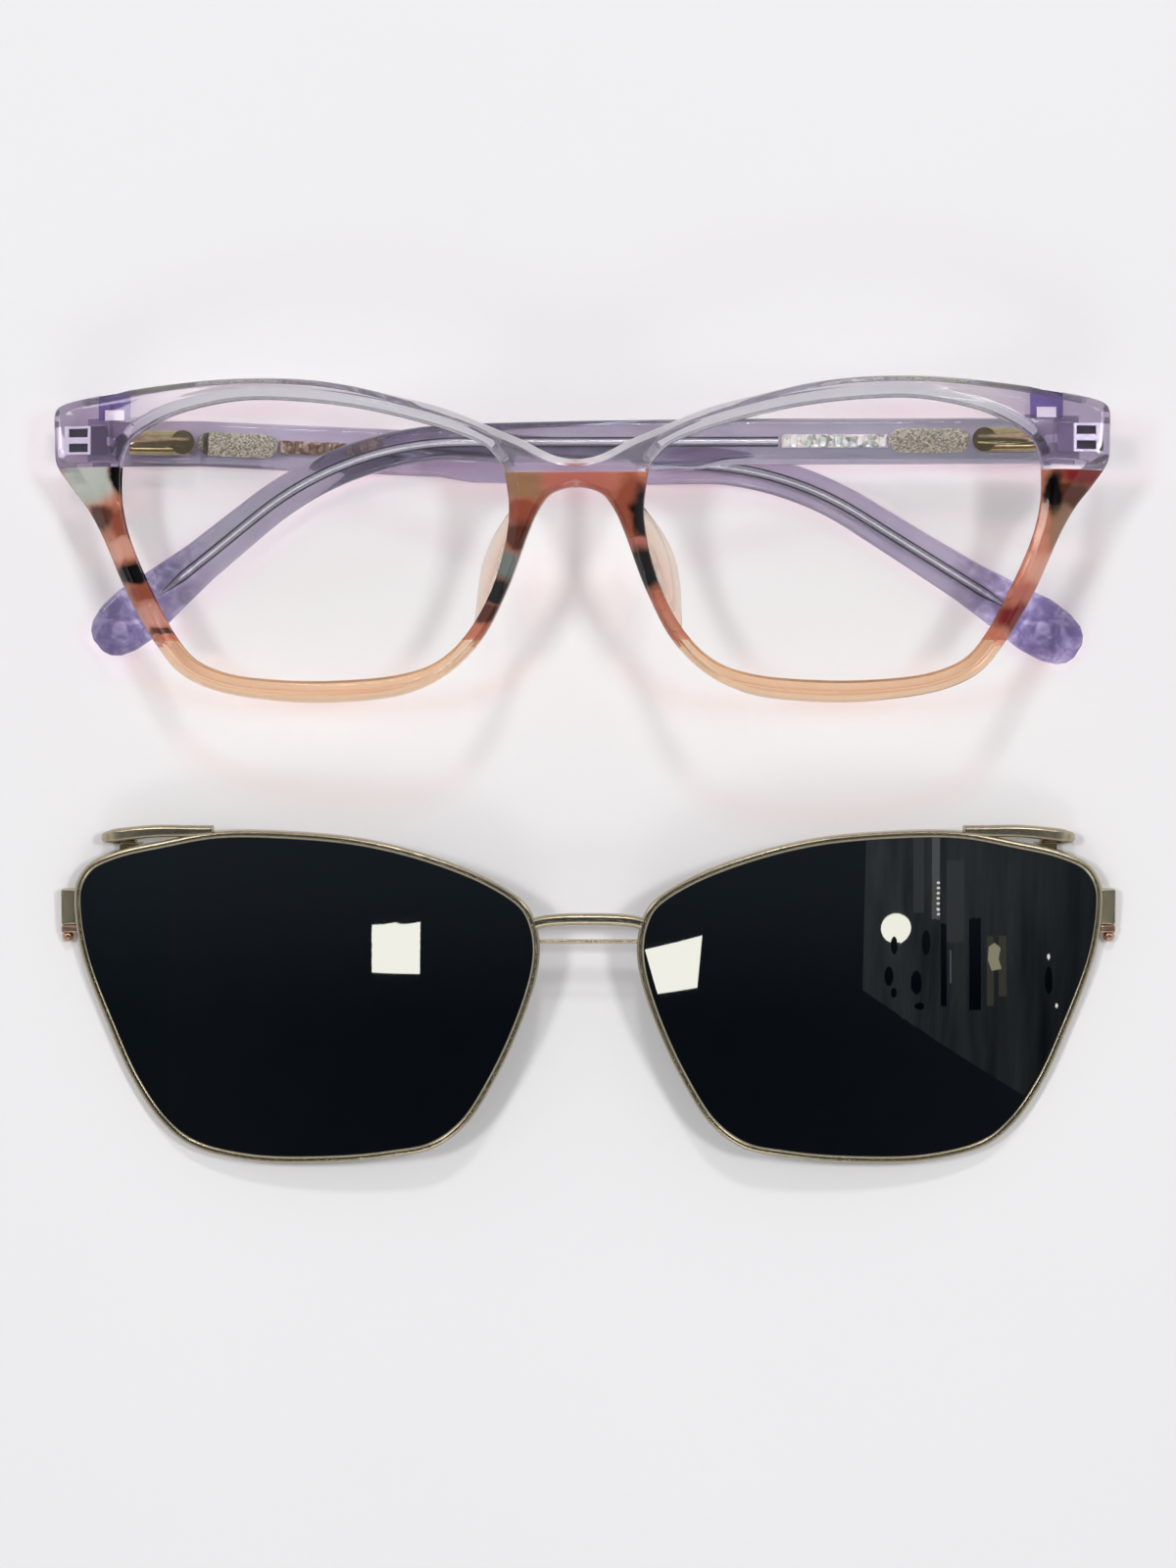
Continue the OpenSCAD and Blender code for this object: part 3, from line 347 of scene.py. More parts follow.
def box_mesh(name, lo, hi, bevel=0.0, segments=2):
    """Box in a local frame, its edges rounded where bevel says so."""
    v = [(x, y, z) for x in (lo[0], hi[0]) for y in (lo[1], hi[1]) for z in (lo[2], hi[2])]
    f = [(0, 1, 3, 2), (4, 6, 7, 5), (0, 4, 5, 1), (2, 3, 7, 6), (0, 2, 6, 4), (1, 5, 7, 3)]
    o = local_object(name, v, f)
    if bevel:
        with editing(o.data) as bm:
            bmesh.ops.bevel(bm, geom=bm.edges[:], offset=bevel, segments=segments, profile=0.6, affect="EDGES")
    return o


def skin_faces(n, m, closed):
    """Faces over n rings of m points each, as a closed ring or with a cap at each end."""
    f = []
    for i in range(n if closed else n - 1):
        j = (i + 1) % n
        for k in range(m):
            q = (k + 1) % m
            f.append((i * m + k, i * m + q, j * m + q, j * m + k))
    if not closed:
        f.append(tuple(range(m))[::-1])
        f.append(tuple((n - 1) * m + k for k in range(m)))
    return f


def skin(name, rings, closed=False):
    rings = list(rings)
    return local_object(name, np.concatenate(rings), skin_faces(len(rings), len(rings[0]), closed))


# ---- materials
ACETATE_IOR, TINT_IOR, STONE_IOR = 1.49, 1.55, 1.9


def grey(v):
    return (v, v, v)


def feed(nt, value, socket):
    """Links a socket to an output, or gives it a value of its own."""
    if hasattr(value, "is_output"):
        nt.links.new(value, socket)
    elif socket.type == "RGBA":
        socket.default_value = (*value, 1)
    else:
        socket.default_value = value


def node(nt, kind, inputs=(), **settings):
    """New node with its settings, and its inputs by name or number."""
    n = nt.nodes.new("ShaderNode" + kind)
    for key, value in settings.items():
        setattr(n, key, value)
    for key, value in dict(inputs).items():
        feed(nt, value, n.inputs[key])
    return n


def principled(name):
    mat = bpy.data.materials.new(name)
    mat.use_nodes = True
    nt = mat.node_tree
    bsdf = next(n for n in nt.nodes if n.type == "BSDF_PRINCIPLED")
    out = next(n for n in nt.nodes if n.type == "OUTPUT_MATERIAL")
    return mat, nt, bsdf, out


def set_inputs(nt, target, values):
    for key, value in values.items():
        feed(nt, value, target.inputs[key])


def local_place(nt):
    return node(nt, "Attribute", attribute_name="uvw").outputs["Vector"]


def local_axes(nt):
    return node(nt, "SeparateXYZ", {0: local_place(nt)}).outputs


def noise(nt, scale, detail, rough, distortion=0.0, vector=None):
    return node(nt, "TexNoise", {"Scale": scale, "Detail": detail, "Roughness": rough, "Distortion": distortion,
                                 "Vector": vector or local_place(nt)}).outputs


def ramp(nt, fac, stops):
    r = node(nt, "ValToRGB", {"Fac": fac})
    e = r.color_ramp.elements
    e[0].position, e[0].color = stops[0][0], (*stops[0][1], 1)
    e[1].position, e[1].color = stops[-1][0], (*stops[-1][1], 1)
    for pos, col in stops[1:-1]:
        e.new(pos).color = (*col, 1)
    return r.outputs["Color"]


def mix_color(nt, fac, a, b, mode="MIX"):
    return node(nt, "Mix", {0: fac, 6: a, 7: b}, data_type="RGBA", blend_type=mode).outputs[2]


def mix_value(nt, fac, a, b):
    return node(nt, "Mix", {0: fac, 2: a, 3: b}, data_type="FLOAT").outputs[0]


def mix_shader(nt, fac, a, b):
    return node(nt, "MixShader", {0: fac, 1: a, 2: b}).outputs[0]


def math_node(nt, operation, a, b=0.0, clamp=False):
    return node(nt, "Math", {0: a, 1: b}, operation=operation, use_clamp=clamp).outputs[0]


def vector_node(nt, operation, *values):
    return node(nt, "VectorMath", dict(enumerate(values)), operation=operation).outputs


def smooth_step(nt, value, start, end):
    """0 at start and 1 at end, with a soft way between."""
    return node(nt, "MapRange", {"Value": value, "From Min": start, "From Max": end},
                interpolation_type="SMOOTHSTEP").outputs["Result"]


def spread(nt, value, low, high):
    """A value of 0 to 1 as low to high."""
    return node(nt, "MapRange", {"Value": value, "To Min": low, "To Max": high}).outputs["Result"]


def facing(nt):
    """0 where the face looks at the eye, 1 at its edge."""
    return node(nt, "LayerWeight", {"Blend": 0.5}).outputs["Facing"]


def bump(nt, bsdf, height, strength, distance):
    b = node(nt, "Bump", {"Strength": strength, "Distance": distance, "Height": height})
    feed(nt, b.outputs["Normal"], bsdf.inputs["Normal"])


def fine_bump(nt, bsdf, scale, strength, distance):
    bump(nt, bsdf, noise(nt, scale, 4, 0.6)["Fac"], strength, distance)


def let_light_through(nt, surface, out, tint):
    """Shadow rays pass the piece and take its tint, as light does in clear plastic."""
    shadow = node(nt, "LightPath").outputs["Is Shadow Ray"]
    clear = node(nt, "BsdfTransparent", {"Color": tint})
    feed(nt, mix_shader(nt, shadow, surface, clear.outputs[0]), out.inputs["Surface"])


def zones(nt):
    """0 on the rims, 1 at the end pieces, a little in the bridge."""
    away = math_node(nt, "ABSOLUTE", local_axes(nt)[0])
    ends, bridge = smooth_step(nt, away, 50, 60), smooth_step(nt, away, 17, 8)
    return math_node(nt, "MAXIMUM", ends, math_node(nt, "MULTIPLY", bridge, 0.12))


def milky_tip(nt, colour):
    """Curled clouds in the last centimetres of a temple."""
    near_tip = smooth_step(nt, local_axes(nt)[0], 106, 118)
    tone = ramp(nt, noise(nt, 0.3, 2, 0.5, 2.2)["Fac"], [
        (0.36, (0.185, 0.175, 0.32)), (0.5, (0.285, 0.275, 0.435)), (0.64, (0.53, 0.545, 0.67))])
    return mix_color(nt, near_tip, colour, tone)


def acetate(name, colour, deep, shadow, transmission=0.95, rough=0.03, zoned=False, edge=None, swirl=False):
    """Translucent acetate with faint clouds; edge is a painted sheen that tints the faces that are seen aslant."""
    mat, nt, bsdf, out = principled(name)
    cloud = noise(nt, 0.12, 4, 0.55, 0.6)["Fac"]
    fine = noise(nt, 1.1, 3, 0.6)["Color"]
    if zoned:
        c = mix_color(nt, zones(nt), colour, deep)
        c = mix_color(nt, ramp(nt, cloud, [(0.3, grey(0)), (0.7, grey(0.22))]), c, deep)
    else:
        c = ramp(nt, cloud, [(0.3, colour), (0.72, deep)])
    if swirl:
        c = milky_tip(nt, c)
    c = mix_color(nt, 0.06, c, fine, "SOFT_LIGHT")
    # painted sheen: faces seen aslant take the edge colour
    if edge:
        c = mix_color(nt, smooth_step(nt, facing(nt), 0.03, 0.22), c, edge)
    set_inputs(nt, bsdf, {"Base Color": c, "Transmission Weight": transmission, "Roughness": rough,
                          "IOR": ACETATE_IOR})
    fine_bump(nt, bsdf, 1.6, 0.1, 0.00002)
    let_light_through(nt, bsdf.outputs[0], out, shadow)
    return mat


# Clouds of the marbled sheet: range along u, range along v, colour, how clear it is
BROWN, BLACK, DEEPRED = (0.09, 0.025, 0.014), (0.002, 0.001, 0.001), (0.19, 0.018, 0.016)
SALMON, AMBER, ROSE, PALE = (0.61, 0.19, 0.105), (0.64, 0.28, 0.18), (0.52, 0.17, 0.13), (0.56, 0.62, 0.55)
PINK, TAN, RUST, SMOKE = (0.74, 0.4, 0.3), (0.36, 0.2, 0.11), (0.28, 0.07, 0.04), (0.2, 0.24, 0.22)
LAVENDER = (0.82, 0.79, 0.87)
CLOUDS = [
    (-66, -59.2, 4.6, 12, PALE, 0.55), (-59.6, -56.6, 5.8, 11, BLACK, 0), (-62.6, -58.8, 1.2, 4.6, BROWN, 0.05),
    (-59.2, -56.6, -0.4, 4.8, RUST, 0.1), (-60, -55.5, -2.4, 0.4, PINK, 0.5), (-59, -54.2, -5.6, -2.6, BLACK, 0.05),
    (-57, -52.6, -7.8, -5.2, RUST, 0.15), (-56.6, -51.4, -11.2, -7.8, PINK, 0.55),
    (-54.6, -49.6, -11.9, -11.2, BROWN, 0.15), (-9.6, -3.6, 4.6, 10.4, TAN, 0.4), (-4, 5, 4, 10.6, ROSE, 0.35),
    (-8.8, -4.4, 1.6, 5, RUST, 0.1), (4.6, 9.6, 0.2, 8, RUST, 0.05), (7, 10, -0.4, 6.4, BLACK, 0),
    (-9.4, -4.8, -1.6, 2.2, BROWN, 0.02), (-10.6, -6.4, -5, -1.6, SMOKE, 0.4),
    (-12.8, -6.4, -8.6, -4.7, BLACK, 0), (-13.6, -9, -10.6, -8.4, BROWN, 0.1), (5.4, 9.4, -1.2, 0.2, ROSE, 0.3),
    (5, 12.4, -6.3, -1, BLACK, 0), (60.4, 68, 6.6, 11, DEEPRED, 0.1), (59.6, 65.4, 3.8, 7.2, BROWN, 0.05),
    (58.8, 61.2, 2.4, 9, BLACK, 0), (59.2, 64.4, -1.7, 4, TAN, 0.45), (56, 62, -5.6, -1.6, PINK, 0.5),
    (54.6, 59.6, -8.2, -5.4, ROSE, 0.3), (52.4, 58.4, -11.8, -8, DEEPRED, 0.2)]
CLOUD_EDGE, CLOUD_CORE = 1.36, 0.66
BRIDGE_REACH, END_REACH = 14.0, 50.0
BRIDGE_LINE, END_LINE = (8.25, 8.4), (8.8, 8.95)


def lavender_strip(nt):
    """Across the bridge and at the right end the lavender reaches a little below the joint line."""
    u, v, _ = local_axes(nt)
    in_bridge = math_node(nt, "LESS_THAN", math_node(nt, "ABSOLUTE", u), BRIDGE_REACH)
    at_end = math_node(nt, "GREATER_THAN", u, END_REACH)
    return math_node(nt, "MAXIMUM",
                     math_node(nt, "MULTIPLY", smooth_step(nt, v, *BRIDGE_LINE), in_bridge),
                     math_node(nt, "MULTIPLY", smooth_step(nt, v, *END_LINE), at_end))


def marbled():
    """Marbled sheet: a salmon base with rust veins, and the placed clouds over it."""
    mat, nt, bsdf, out = principled("marbled_acetate")
    warp = noise(nt, 0.36, 1.5, 0.5, 0.3)["Color"]
    warp = vector_node(nt, "MULTIPLY_ADD", warp, (2, 2, 0), (-1, -1, 0))[0]
    moved = vector_node(nt, "ADD", warp, local_place(nt))[0]
    colour = ramp(nt, noise(nt, 0.3, 3, 0.5)["Fac"], [(0.35, SALMON), (0.65, AMBER)])
    vein = ramp(nt, noise(nt, 0.55, 4, 0.6, 1.1, moved)["Fac"], [(0.52, grey(0)), (0.72, grey(0.6))])
    colour = mix_color(nt, vein, colour, RUST)
    clear = 0.45
    for u0, u1, v0, v1, cloud, see in CLOUDS:
        ru, rv = 2 / (u1 - u0), 2 / (v1 - v0)
        off = vector_node(nt, "MULTIPLY_ADD", moved, (ru, rv, 0), (-ru * (u0 + u1) / 2, -rv * (v0 + v1) / 2, 0))
        inside = smooth_step(nt, vector_node(nt, "LENGTH", off[0])["Value"], CLOUD_EDGE, CLOUD_CORE)
        colour = mix_color(nt, inside, colour, cloud)
        clear = mix_value(nt, inside, clear, see)
    colour = mix_color(nt, 0.14, colour, noise(nt, 2.4, 4, 0.65)["Color"], "SOFT_LIGHT")
    strip = lavender_strip(nt)
    colour = mix_color(nt, strip, colour, LAVENDER)
    clear = math_node(nt, "MAXIMUM", clear, math_node(nt, "MULTIPLY", strip, 0.95))
    set_inputs(nt, bsdf, {"Base Color": colour, "Transmission Weight": clear, "Roughness": 0.06,
                          "Specular IOR Level": 0.35, "IOR": ACETATE_IOR})
    fine_bump(nt, bsdf, 1.6, 0.1, 0.00002)
    let_light_through(nt, bsdf.outputs[0], out, mix_color(nt, clear, (0.14, 0.06, 0.06), (0.85, 0.6, 0.58)))
    return mat


def thin_glass(name, tint, strength):
    """Clear lens: reflection over plain see-through, with no bending."""
    mat = bpy.data.materials.new(name)
    mat.use_nodes = True
    nt = mat.node_tree
    nt.nodes.clear()
    clear = node(nt, "BsdfTransparent", {"Color": tint})
    dust = noise(nt, 0.7, 4, 0.6)["Fac"]
    gloss = node(nt, "BsdfGlossy", {"Roughness": ramp(nt, dust, [(0.4, grey(0.01)), (0.8, grey(0.03))])})
    fac = math_node(nt, "ADD", math_node(nt, "POWER", facing(nt), 5.0), 0.021)
    lit = math_node(nt, "SUBTRACT", 1.0, node(nt, "LightPath").outputs["Is Shadow Ray"])
    fac = math_node(nt, "MULTIPLY", math_node(nt, "MULTIPLY", fac, strength), lit)
    node(nt, "OutputMaterial", {"Surface": mix_shader(nt, fac, clear.outputs[0], gloss.outputs[0])})
    return mat


def metal(name, colour, dark, rough, grain=0.08, full=1.0, painted_edge_shade=False, painted_shade_inside=None):
    """Brushed metal: painted_edge_shade paints shade on slanting faces, painted_shade_inside paints shade on what
    lies nearer the middle than it.
    """
    mat, nt, bsdf, out = principled(name)
    cloud = noise(nt, 1.4, 5, 0.6)["Fac"]
    c = ramp(nt, cloud, [(0.3, dark), (0.7, colour)])
    # painted shade: slanting faces are darkened, as the sides of a round wire look
    if painted_edge_shade:
        shade_on_slant = ramp(nt, facing(nt), [(0.12, grey(0)), (0.34, grey(1))])
        c = mix_color(nt, shade_on_slant, c, (0.06, 0.055, 0.055))
    # painted shade: what lies nearer the middle than the given limit is darkened to a dim purple
    if painted_shade_inside:
        away = math_node(nt, "ABSOLUTE", local_axes(nt)[0])
        c = mix_color(nt, smooth_step(nt, away, painted_shade_inside, painted_shade_inside + 0.25), (0.09, 0.07, 0.11), c)
    set_inputs(nt, bsdf, {"Base Color": c, "Metallic": full,
                          "Roughness": spread(nt, cloud, rough * 0.8, rough * 1.25)})
    fine_bump(nt, bsdf, 9, grain, 0.00001)
    return mat


def facets(nt, scale):
    """One random colour to each small cell: red, green and blue, and the colour itself."""
    v = node(nt, "TexVoronoi", {"Scale": scale, "Vector": local_place(nt)})
    parts = node(nt, "SeparateColor", {"Color": v.outputs["Color"]})
    return parts.outputs, v.outputs["Color"]


def glitter():
    mat, nt, bsdf, out = principled("glitter_foil")
    hue, cell = facets(nt, 5.2)
    tone = ramp(nt, hue["Red"], [(0.0, (0.3, 0.27, 0.2)), (0.5, (0.66, 0.61, 0.48)), (1.0, (1, 0.97, 0.84))])
    set_inputs(nt, bsdf, {"Base Color": mix_color(nt, 0.12, tone, cell, "OVERLAY"), "Metallic": 0.75,
                          "Roughness": 0.35})
    bump(nt, bsdf, hue["Green"], 0.9, 0.00025)
    return mat


def stone(name, stops):
    """Cut stones: each facet is painted another tone, as painted glints or painted shade of what it throws back."""
    mat, nt, bsdf, out = principled(name)
    # painted glints or shade: each facet's tone comes from the given stops
    hue, _ = facets(nt, 1.7)
    set_inputs(nt, bsdf, {"Base Color": ramp(nt, hue["Red"], stops), "Metallic": 0.25, "Roughness": 0.1,
                          "IOR": STONE_IOR})
    return mat


def tinted():
    """Dark lens, with a painted reflection that makes it a little lighter toward its top."""
    mat, nt, bsdf, out = principled("tinted_lens")
    cloud = noise(nt, 0.2, 3, 0.5)["Fac"]
    c = ramp(nt, cloud, [(0.3, (0.0002, 0.001, 0.0022)), (0.7, (0.0006, 0.0016, 0.0032))])
    # painted reflection: the lens is made lighter toward its top
    c = mix_color(nt, smooth_step(nt, local_axes(nt)[1], -6, 21), c, (0.006, 0.0085, 0.0115))
    fine = noise(nt, 3, 4, 0.6)["Fac"]
    set_inputs(nt, bsdf, {"Base Color": c, "IOR": TINT_IOR, "Roughness": spread(nt, fine, 0.004, 0.009)})
    return mat


LAV = acetate("lavender_acetate", (0.66, 0.665, 0.69), (0.42, 0.38, 0.5), (0.9, 0.75, 0.8), zoned=True)
# painted shade: the magnet pocket's walls get a deeper purple than the lavender they are cut in
POCKET_SHADE = acetate("pocket_wall_shade", (0.3, 0.23, 0.58), (0.24, 0.18, 0.5), (0.9, 0.75, 0.8))
# painted highlight: the peach rim's faces seen aslant are tinted cream
PEACH = acetate("peach_acetate", (0.75, 0.46, 0.29), (0.69, 0.4, 0.24), (0.97, 0.8, 0.76), 0.92, 0.05,
                edge=(0.86, 0.71, 0.52))
ARM = acetate("temple_acetate", (0.465, 0.47, 0.545), (0.39, 0.395, 0.485), (0.93, 0.79, 0.84), swirl=True)
# painted sheen: the pads' faces seen aslant are tinted peach
PAD = acetate("pad_acetate", (0.8, 0.83, 0.78), (0.72, 0.76, 0.7), (0.95, 0.88, 0.87), 0.92, 0.04,
              edge=(0.86, 0.68, 0.56))
MARBLE = marbled()
LENS = thin_glass("demo_lens", (0.997, 0.998, 0.997), 0.9)
GOLD = metal("clip_metal", (0.48, 0.42, 0.305), (0.4, 0.345, 0.24), 0.23, grain=0.03)
ROSE_GOLD = metal("clip_lock", (0.56, 0.36, 0.25), (0.45, 0.29, 0.2), 0.28)
GILT = metal("hinge_gilt", (0.44, 0.37, 0.22), (0.34, 0.28, 0.16), 0.12, full=0.85)
# painted shade on the plate's part that lies nearer the middle
PLATE = metal("hinge_plate_steel", (0.9, 0.9, 0.92), (0.82, 0.82, 0.84), 0.2, full=0.75, painted_shade_inside=62.1)
STEEL = metal("hinge_steel", (0.86, 0.86, 0.88), (0.72, 0.72, 0.75), 0.3, full=0.85)
# painted shade on the wire's slanting sides
WIRE = metal("core_wire", (0.98, 0.97, 0.95), (0.9, 0.89, 0.87), 0.13, full=0.82, painted_edge_shade=True)
MAGNET = metal("magnet", (0.95, 0.94, 0.9), (0.85, 0.84, 0.8), 0.3, full=0.45)
SHADE = metal("hinge_shade", (0.03, 0.028, 0.04), (0.02, 0.02, 0.03), 0.5, full=0.0)
GLITTER = glitter()
# painted glints: facets are given grey, white and pale orange tones
GLINTING_STONES = stone("crystal_stones", [(0.0, (0.3, 0.31, 0.3)), (0.35, (0.75, 0.78, 0.75)), (0.6, (1, 1, 1)),
                                 (0.8, (1, 0.84, 0.74)), (1.0, (1, 0.98, 1))])
# painted shade: the left temple's stones are given brown tones
SHADED_STONES = stone("stones_in_shade", [(0.0, (0.16, 0.1, 0.08)), (0.5, (0.34, 0.24, 0.19)),
                                       (1.0, (0.6, 0.45, 0.36))])
TINT = tinted()


def dress(o, mat, slot, *nodes):
    o.data.materials.clear()
    o.data.materials.append(mat)
    if nodes:
        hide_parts(*nodes)


def second_material(o, mat, faces):
    """Gives another material to some faces."""
    o.data.materials.append(mat)
    for i in faces:
        o.data.polygons[i].material_index = 1


# ---- front of the glasses
FRONT_STEPS = 7
front_curve = open_curve(FRONT_ROWS, FRONT_STEPS)


def front_rings():
    """Sections round one rim, from the bridge's middle back to it."""
    outer, inner, bevels = front_curve[:, 0:2], front_curve[:, 2:4], front_curve[:, 4]
    out_n, in_n = loop_normals(outer), loop_normals(inner)
    out_n[0], out_n[-1] = (0, 1), (0, -1)
    groove_back = -GROOVE_FRONT - GROOVE_W
    for i, (o, q, a, b, bevel) in enumerate(zip(outer, inner, out_n, in_n, bevels)):
        ridge, brow = q + b * RIDGE_W, o - a * bevel
        raw = [on_bow(q, -INNER_FALL), on_bow(ridge, 0)]
        raw += [on_bow(ridge + (brow - ridge) * t, -CROWN_FALL * (2 * t - t * t)) for t in (0.25, 0.5, 0.75)]
        raw += [
            on_bow(brow, -CROWN_FALL), on_bow(o, -OUTER_FALL - (bevel - BEVEL_BASE) * EDGE_FOLLOW),
            on_bow(o, -RIM_T + BACK_ROUND), on_bow(o - a * BACK_ROUND, -RIM_T),
            on_bow(q + b * INNER_ROUND, -RIM_T), on_bow(q, -RIM_T + INNER_ROUND), on_bow(q, groove_back),
            on_bow(q + b * GROOVE_D, groove_back), on_bow(q + b * GROOVE_D, -GROOVE_FRONT),
            on_bow(q, -GROOVE_FRONT)]
        radii = [0.2, 0.3, 0, 0, 0, 0.45, 0.45, 0.4, 0.35, 0.3, 0.25, 0, 0, 0, 0]
        if i in (0, len(front_curve) - 1):
            radii[5:9] = [1e-6] * 4
        yield rounded(raw, radii)


def front_mesh():
    """Both rims as one skin; the halves share the bridge's middle section."""
    rings = list(front_rings())
    n, m = len(rings), len(rings[0])
    half = np.concatenate(rings)
    faces = [f for f in skin_faces(n, m, True) if not np.all(np.abs(half[list(f), 0]) < 0.02)]
    mirrored_faces = [tuple(i + len(half) for i in f[::-1]) for f in faces]
    return np.concatenate([half, half * [-1, 1, 1]]), faces + mirrored_faces


def seat(sign):
    """Flat seat behind the end piece that the temple's butt closes against."""
    return skin("seat", [[(sign * u, y * KV, w) for u, y in SEAT_PTS]
                         for w in (BUTT_W, -sag(FRONT_HALF) - SEAT_IN)])


def pocket(sign):
    """Magnet's pocket in the front's top edge."""
    front, above = -sag(POCKET_U) - POCKET_FRONT, 30
    lo_u, hi_u = sorted((sign * (POCKET_U - POCKET_HALF), sign * (POCKET_U + POCKET_HALF)))
    return box_mesh("pocket", (lo_u, POCKET_V, front - POCKET_DEEP), (hi_u, above, front))


def in_pocket(c, margin=0.02):
    front = -sag(POCKET_U) - POCKET_FRONT
    return (abs(abs(c.x) - POCKET_U) < POCKET_HALF + margin and c.y > POCKET_V - margin
            and front - POCKET_DEEP - margin < c.z < front + margin)


def keep_layer(o, lo, hi):
    """Keeps the part of a local mesh with lo < v < hi."""
    with editing(o.data) as bm:
        for h, sign in ((lo, -1), (hi, 1)):
            if h is not None:
                bmesh.ops.bisect_plane(bm, geom=bm.verts[:] + bm.edges[:] + bm.faces[:], dist=1e-5,
                                       plane_co=(0, h, 0), plane_no=(0, sign, 0), clear_outer=True)


whole = local_object("front_whole", *front_mesh())
for sign in (-1, 1):
    combined(whole, seat(sign), "UNION")
    combined(whole, pocket(sign), "DIFFERENCE")
for name, lo, hi, mat, slot in (
        ("front_upper", UPPER_SPLIT, None, LAV, "lavender_acetate"),
        ("front_middle", LOWER_SPLIT, UPPER_SPLIT, MARBLE, "marbled_acetate"),
        ("front_lower", None, LOWER_SPLIT, PEACH, "peach_acetate")):
    o = added(name + "_skin", whole.data.copy())
    keep_layer(o, lo, hi)
    # faces of the magnet pocket, which take the painted shade
    walls = [p.index for p in o.data.polygons if in_pocket(p.center)] if mat is LAV else []
    dress(placed(o, GLASSES, "front"), mat, slot, name)
    if walls:
        second_material(o, POCKET_SHADE, walls)
bpy.data.objects.remove(whole)

# ---- bowed lenses
LENS_RINGS = [1.0, 0.985, 0.93, 0.87, 0.8, 0.73, 0.66, 0.58, 0.5, 0.42, 0.34, 0.26, 0.18, 0.1]
LENS_BEVEL = 0.12


def bowed(name, loop, front, back, matrix, body):
    """Lens with cylinder faces through a loop of points, its edge slightly broken."""
    c, n = loop.mean(0), len(loop)
    verts, faces = [], []
    for w, inward in ((front, -1), (back, 1)):
        for s in LENS_RINGS:
            step = inward * LENS_BEVEL if s == 1.0 else 0.0
            verts += [on_bow(c + (p - c) * s, w + step) for p in loop]
        verts.append(on_bow(c, w))
    last = (len(LENS_RINGS) - 1) * n
    middle = last + n
    half = middle + 1
    for b, way in ((0, 1), (half, -1)):
        for r in range(b, b + last, n):
            faces += [(r + k, r + (k + 1) % n, r + n + (k + 1) % n, r + n + k)[::way] for k in range(n)]
        faces += [(b + last + k, b + last + (k + 1) % n, b + middle)[::way] for k in range(n)]
    faces += [(k, half + k, half + (k + 1) % n, (k + 1) % n) for k in range(n)]
    o = placed(local_object(name, verts, faces), matrix, body)
    o.modifiers.clear()
    turn = matrix.to_3x3()
    exact = []
    for v in o.data.attributes["uvw"].data:
        u, w = v.vector[0], v.vector[2]
        up = 1 if w + sag(u) > (front + back) / 2 else -1
        exact.append(turn @ (Vector((u, 0, math.sqrt(BOW_R * BOW_R - u * u))) / BOW_R * up))
    o.data.normals_split_custom_set_from_vertices(exact)
    return o


lens_loop = front_curve[:, 2:4] + loop_normals(front_curve[:, 2:4]) * LENS_GRIP
for side in SIDES:
    o = bowed("demo_lens_" + side, lens_loop, -LENS_FRONT, -LENS_FRONT - LENS_T, ON_GLASSES[side], "front")
    dress(o, LENS, "demo_lens", "lens_" + side)


# ---- nose pads
def mixed(a, b, t):
    return a + (b - a) * t


def pad_ring(r):
    y, outer, inner, back, height = r
    z0, z1 = -RIM_T + 0.3, -RIM_T - height
    raw = [(outer, y, z0), (inner, y, z0), (mixed(inner, back, 0.75), y, mixed(z0, z1, 0.55)),
           (back, y, z1 + 0.5), (back - 0.5, y, z1), (mixed(outer, back, 0.5), y, mixed(z0, z1, 0.72))]
    return rounded(raw, [0.3, 0.3, 1.2, 0.35, 0.35, 1.4], 4)


pad_curve = open_curve(np.concatenate([[2 * PAD_ROWS[0] - PAD_ROWS[1]], PAD_ROWS,
                                       [2 * PAD_ROWS[-1] - PAD_ROWS[-2]]]), 5)
for side in SIDES:
    o = placed(skin("pad_" + side, [pad_ring(r) for r in pad_curve]), ON_GLASSES[side], "front")
    dress(o, PAD, "pad_acetate", "nose_pad_" + side)


# ---- temples
def path(s, side):
    """Place and slope of the temple's middle line at distance s from the pin."""
    d, b, run = DROOP[side], BEND[side], BEND_START - LEVEL_S
    if s < LEVEL_S:
        return np.array([s, 0.0]), 0.0
    if s < BEND_START:
        return np.array([LEVEL_S + (s - LEVEL_S) * math.cos(d), -(s - LEVEL_S) * math.sin(d)]), d
    g = min(d + (s - BEND_START) / BEND_R, d + b)
    rest = max(s - BEND_START - BEND_R * b, 0)
    return np.array([LEVEL_S + run * math.cos(d) + BEND_R * (math.sin(g) - math.sin(d)) + rest * math.cos(g),
                     -run * math.sin(d) - BEND_R * (math.cos(d) - math.cos(g)) - rest * math.sin(g)]), g


def temple_ring(s, side):
    p, g = path(s, side)
    to_end = TIP_S - s
    tip, thin = float(np.interp(to_end, *TIP)), float(np.interp(to_end, *THIN))
    blend = 1 if to_end < PADDLE_END else min(max(s - BEND_START, 0) / TIP_BLEND, 1)
    up, down = (mixed(float(np.interp(s, *rows)), tip, blend) for rows in (UP, DOWN))
    z0 = -INNER_OFF - float(np.interp(s, *INNER)) - thin
    z1 = -INNER_OFF - TEMPLE_T + thin
    c = min(TEMPLE_EDGE, (z0 - z1) * 0.2)
    v = min(TEMPLE_BEVEL, (z0 - z1) * 0.3, up * 0.4)
    raw = [(up - c, z0), (up, z0 - c), (up, z1 + v), (up - v, z1), (-down + v, z1), (-down, z1 + v),
           (-down, z0 - c), (-down + c, z0)]
    raw = [[p[0] + math.sin(g) * h, p[1] + math.cos(g) * h, z] for h, z in raw]
    return rounded(raw, [0.45, 0.45, 0.7, 0.7, 0.7, 0.7, 0.45, 0.45])


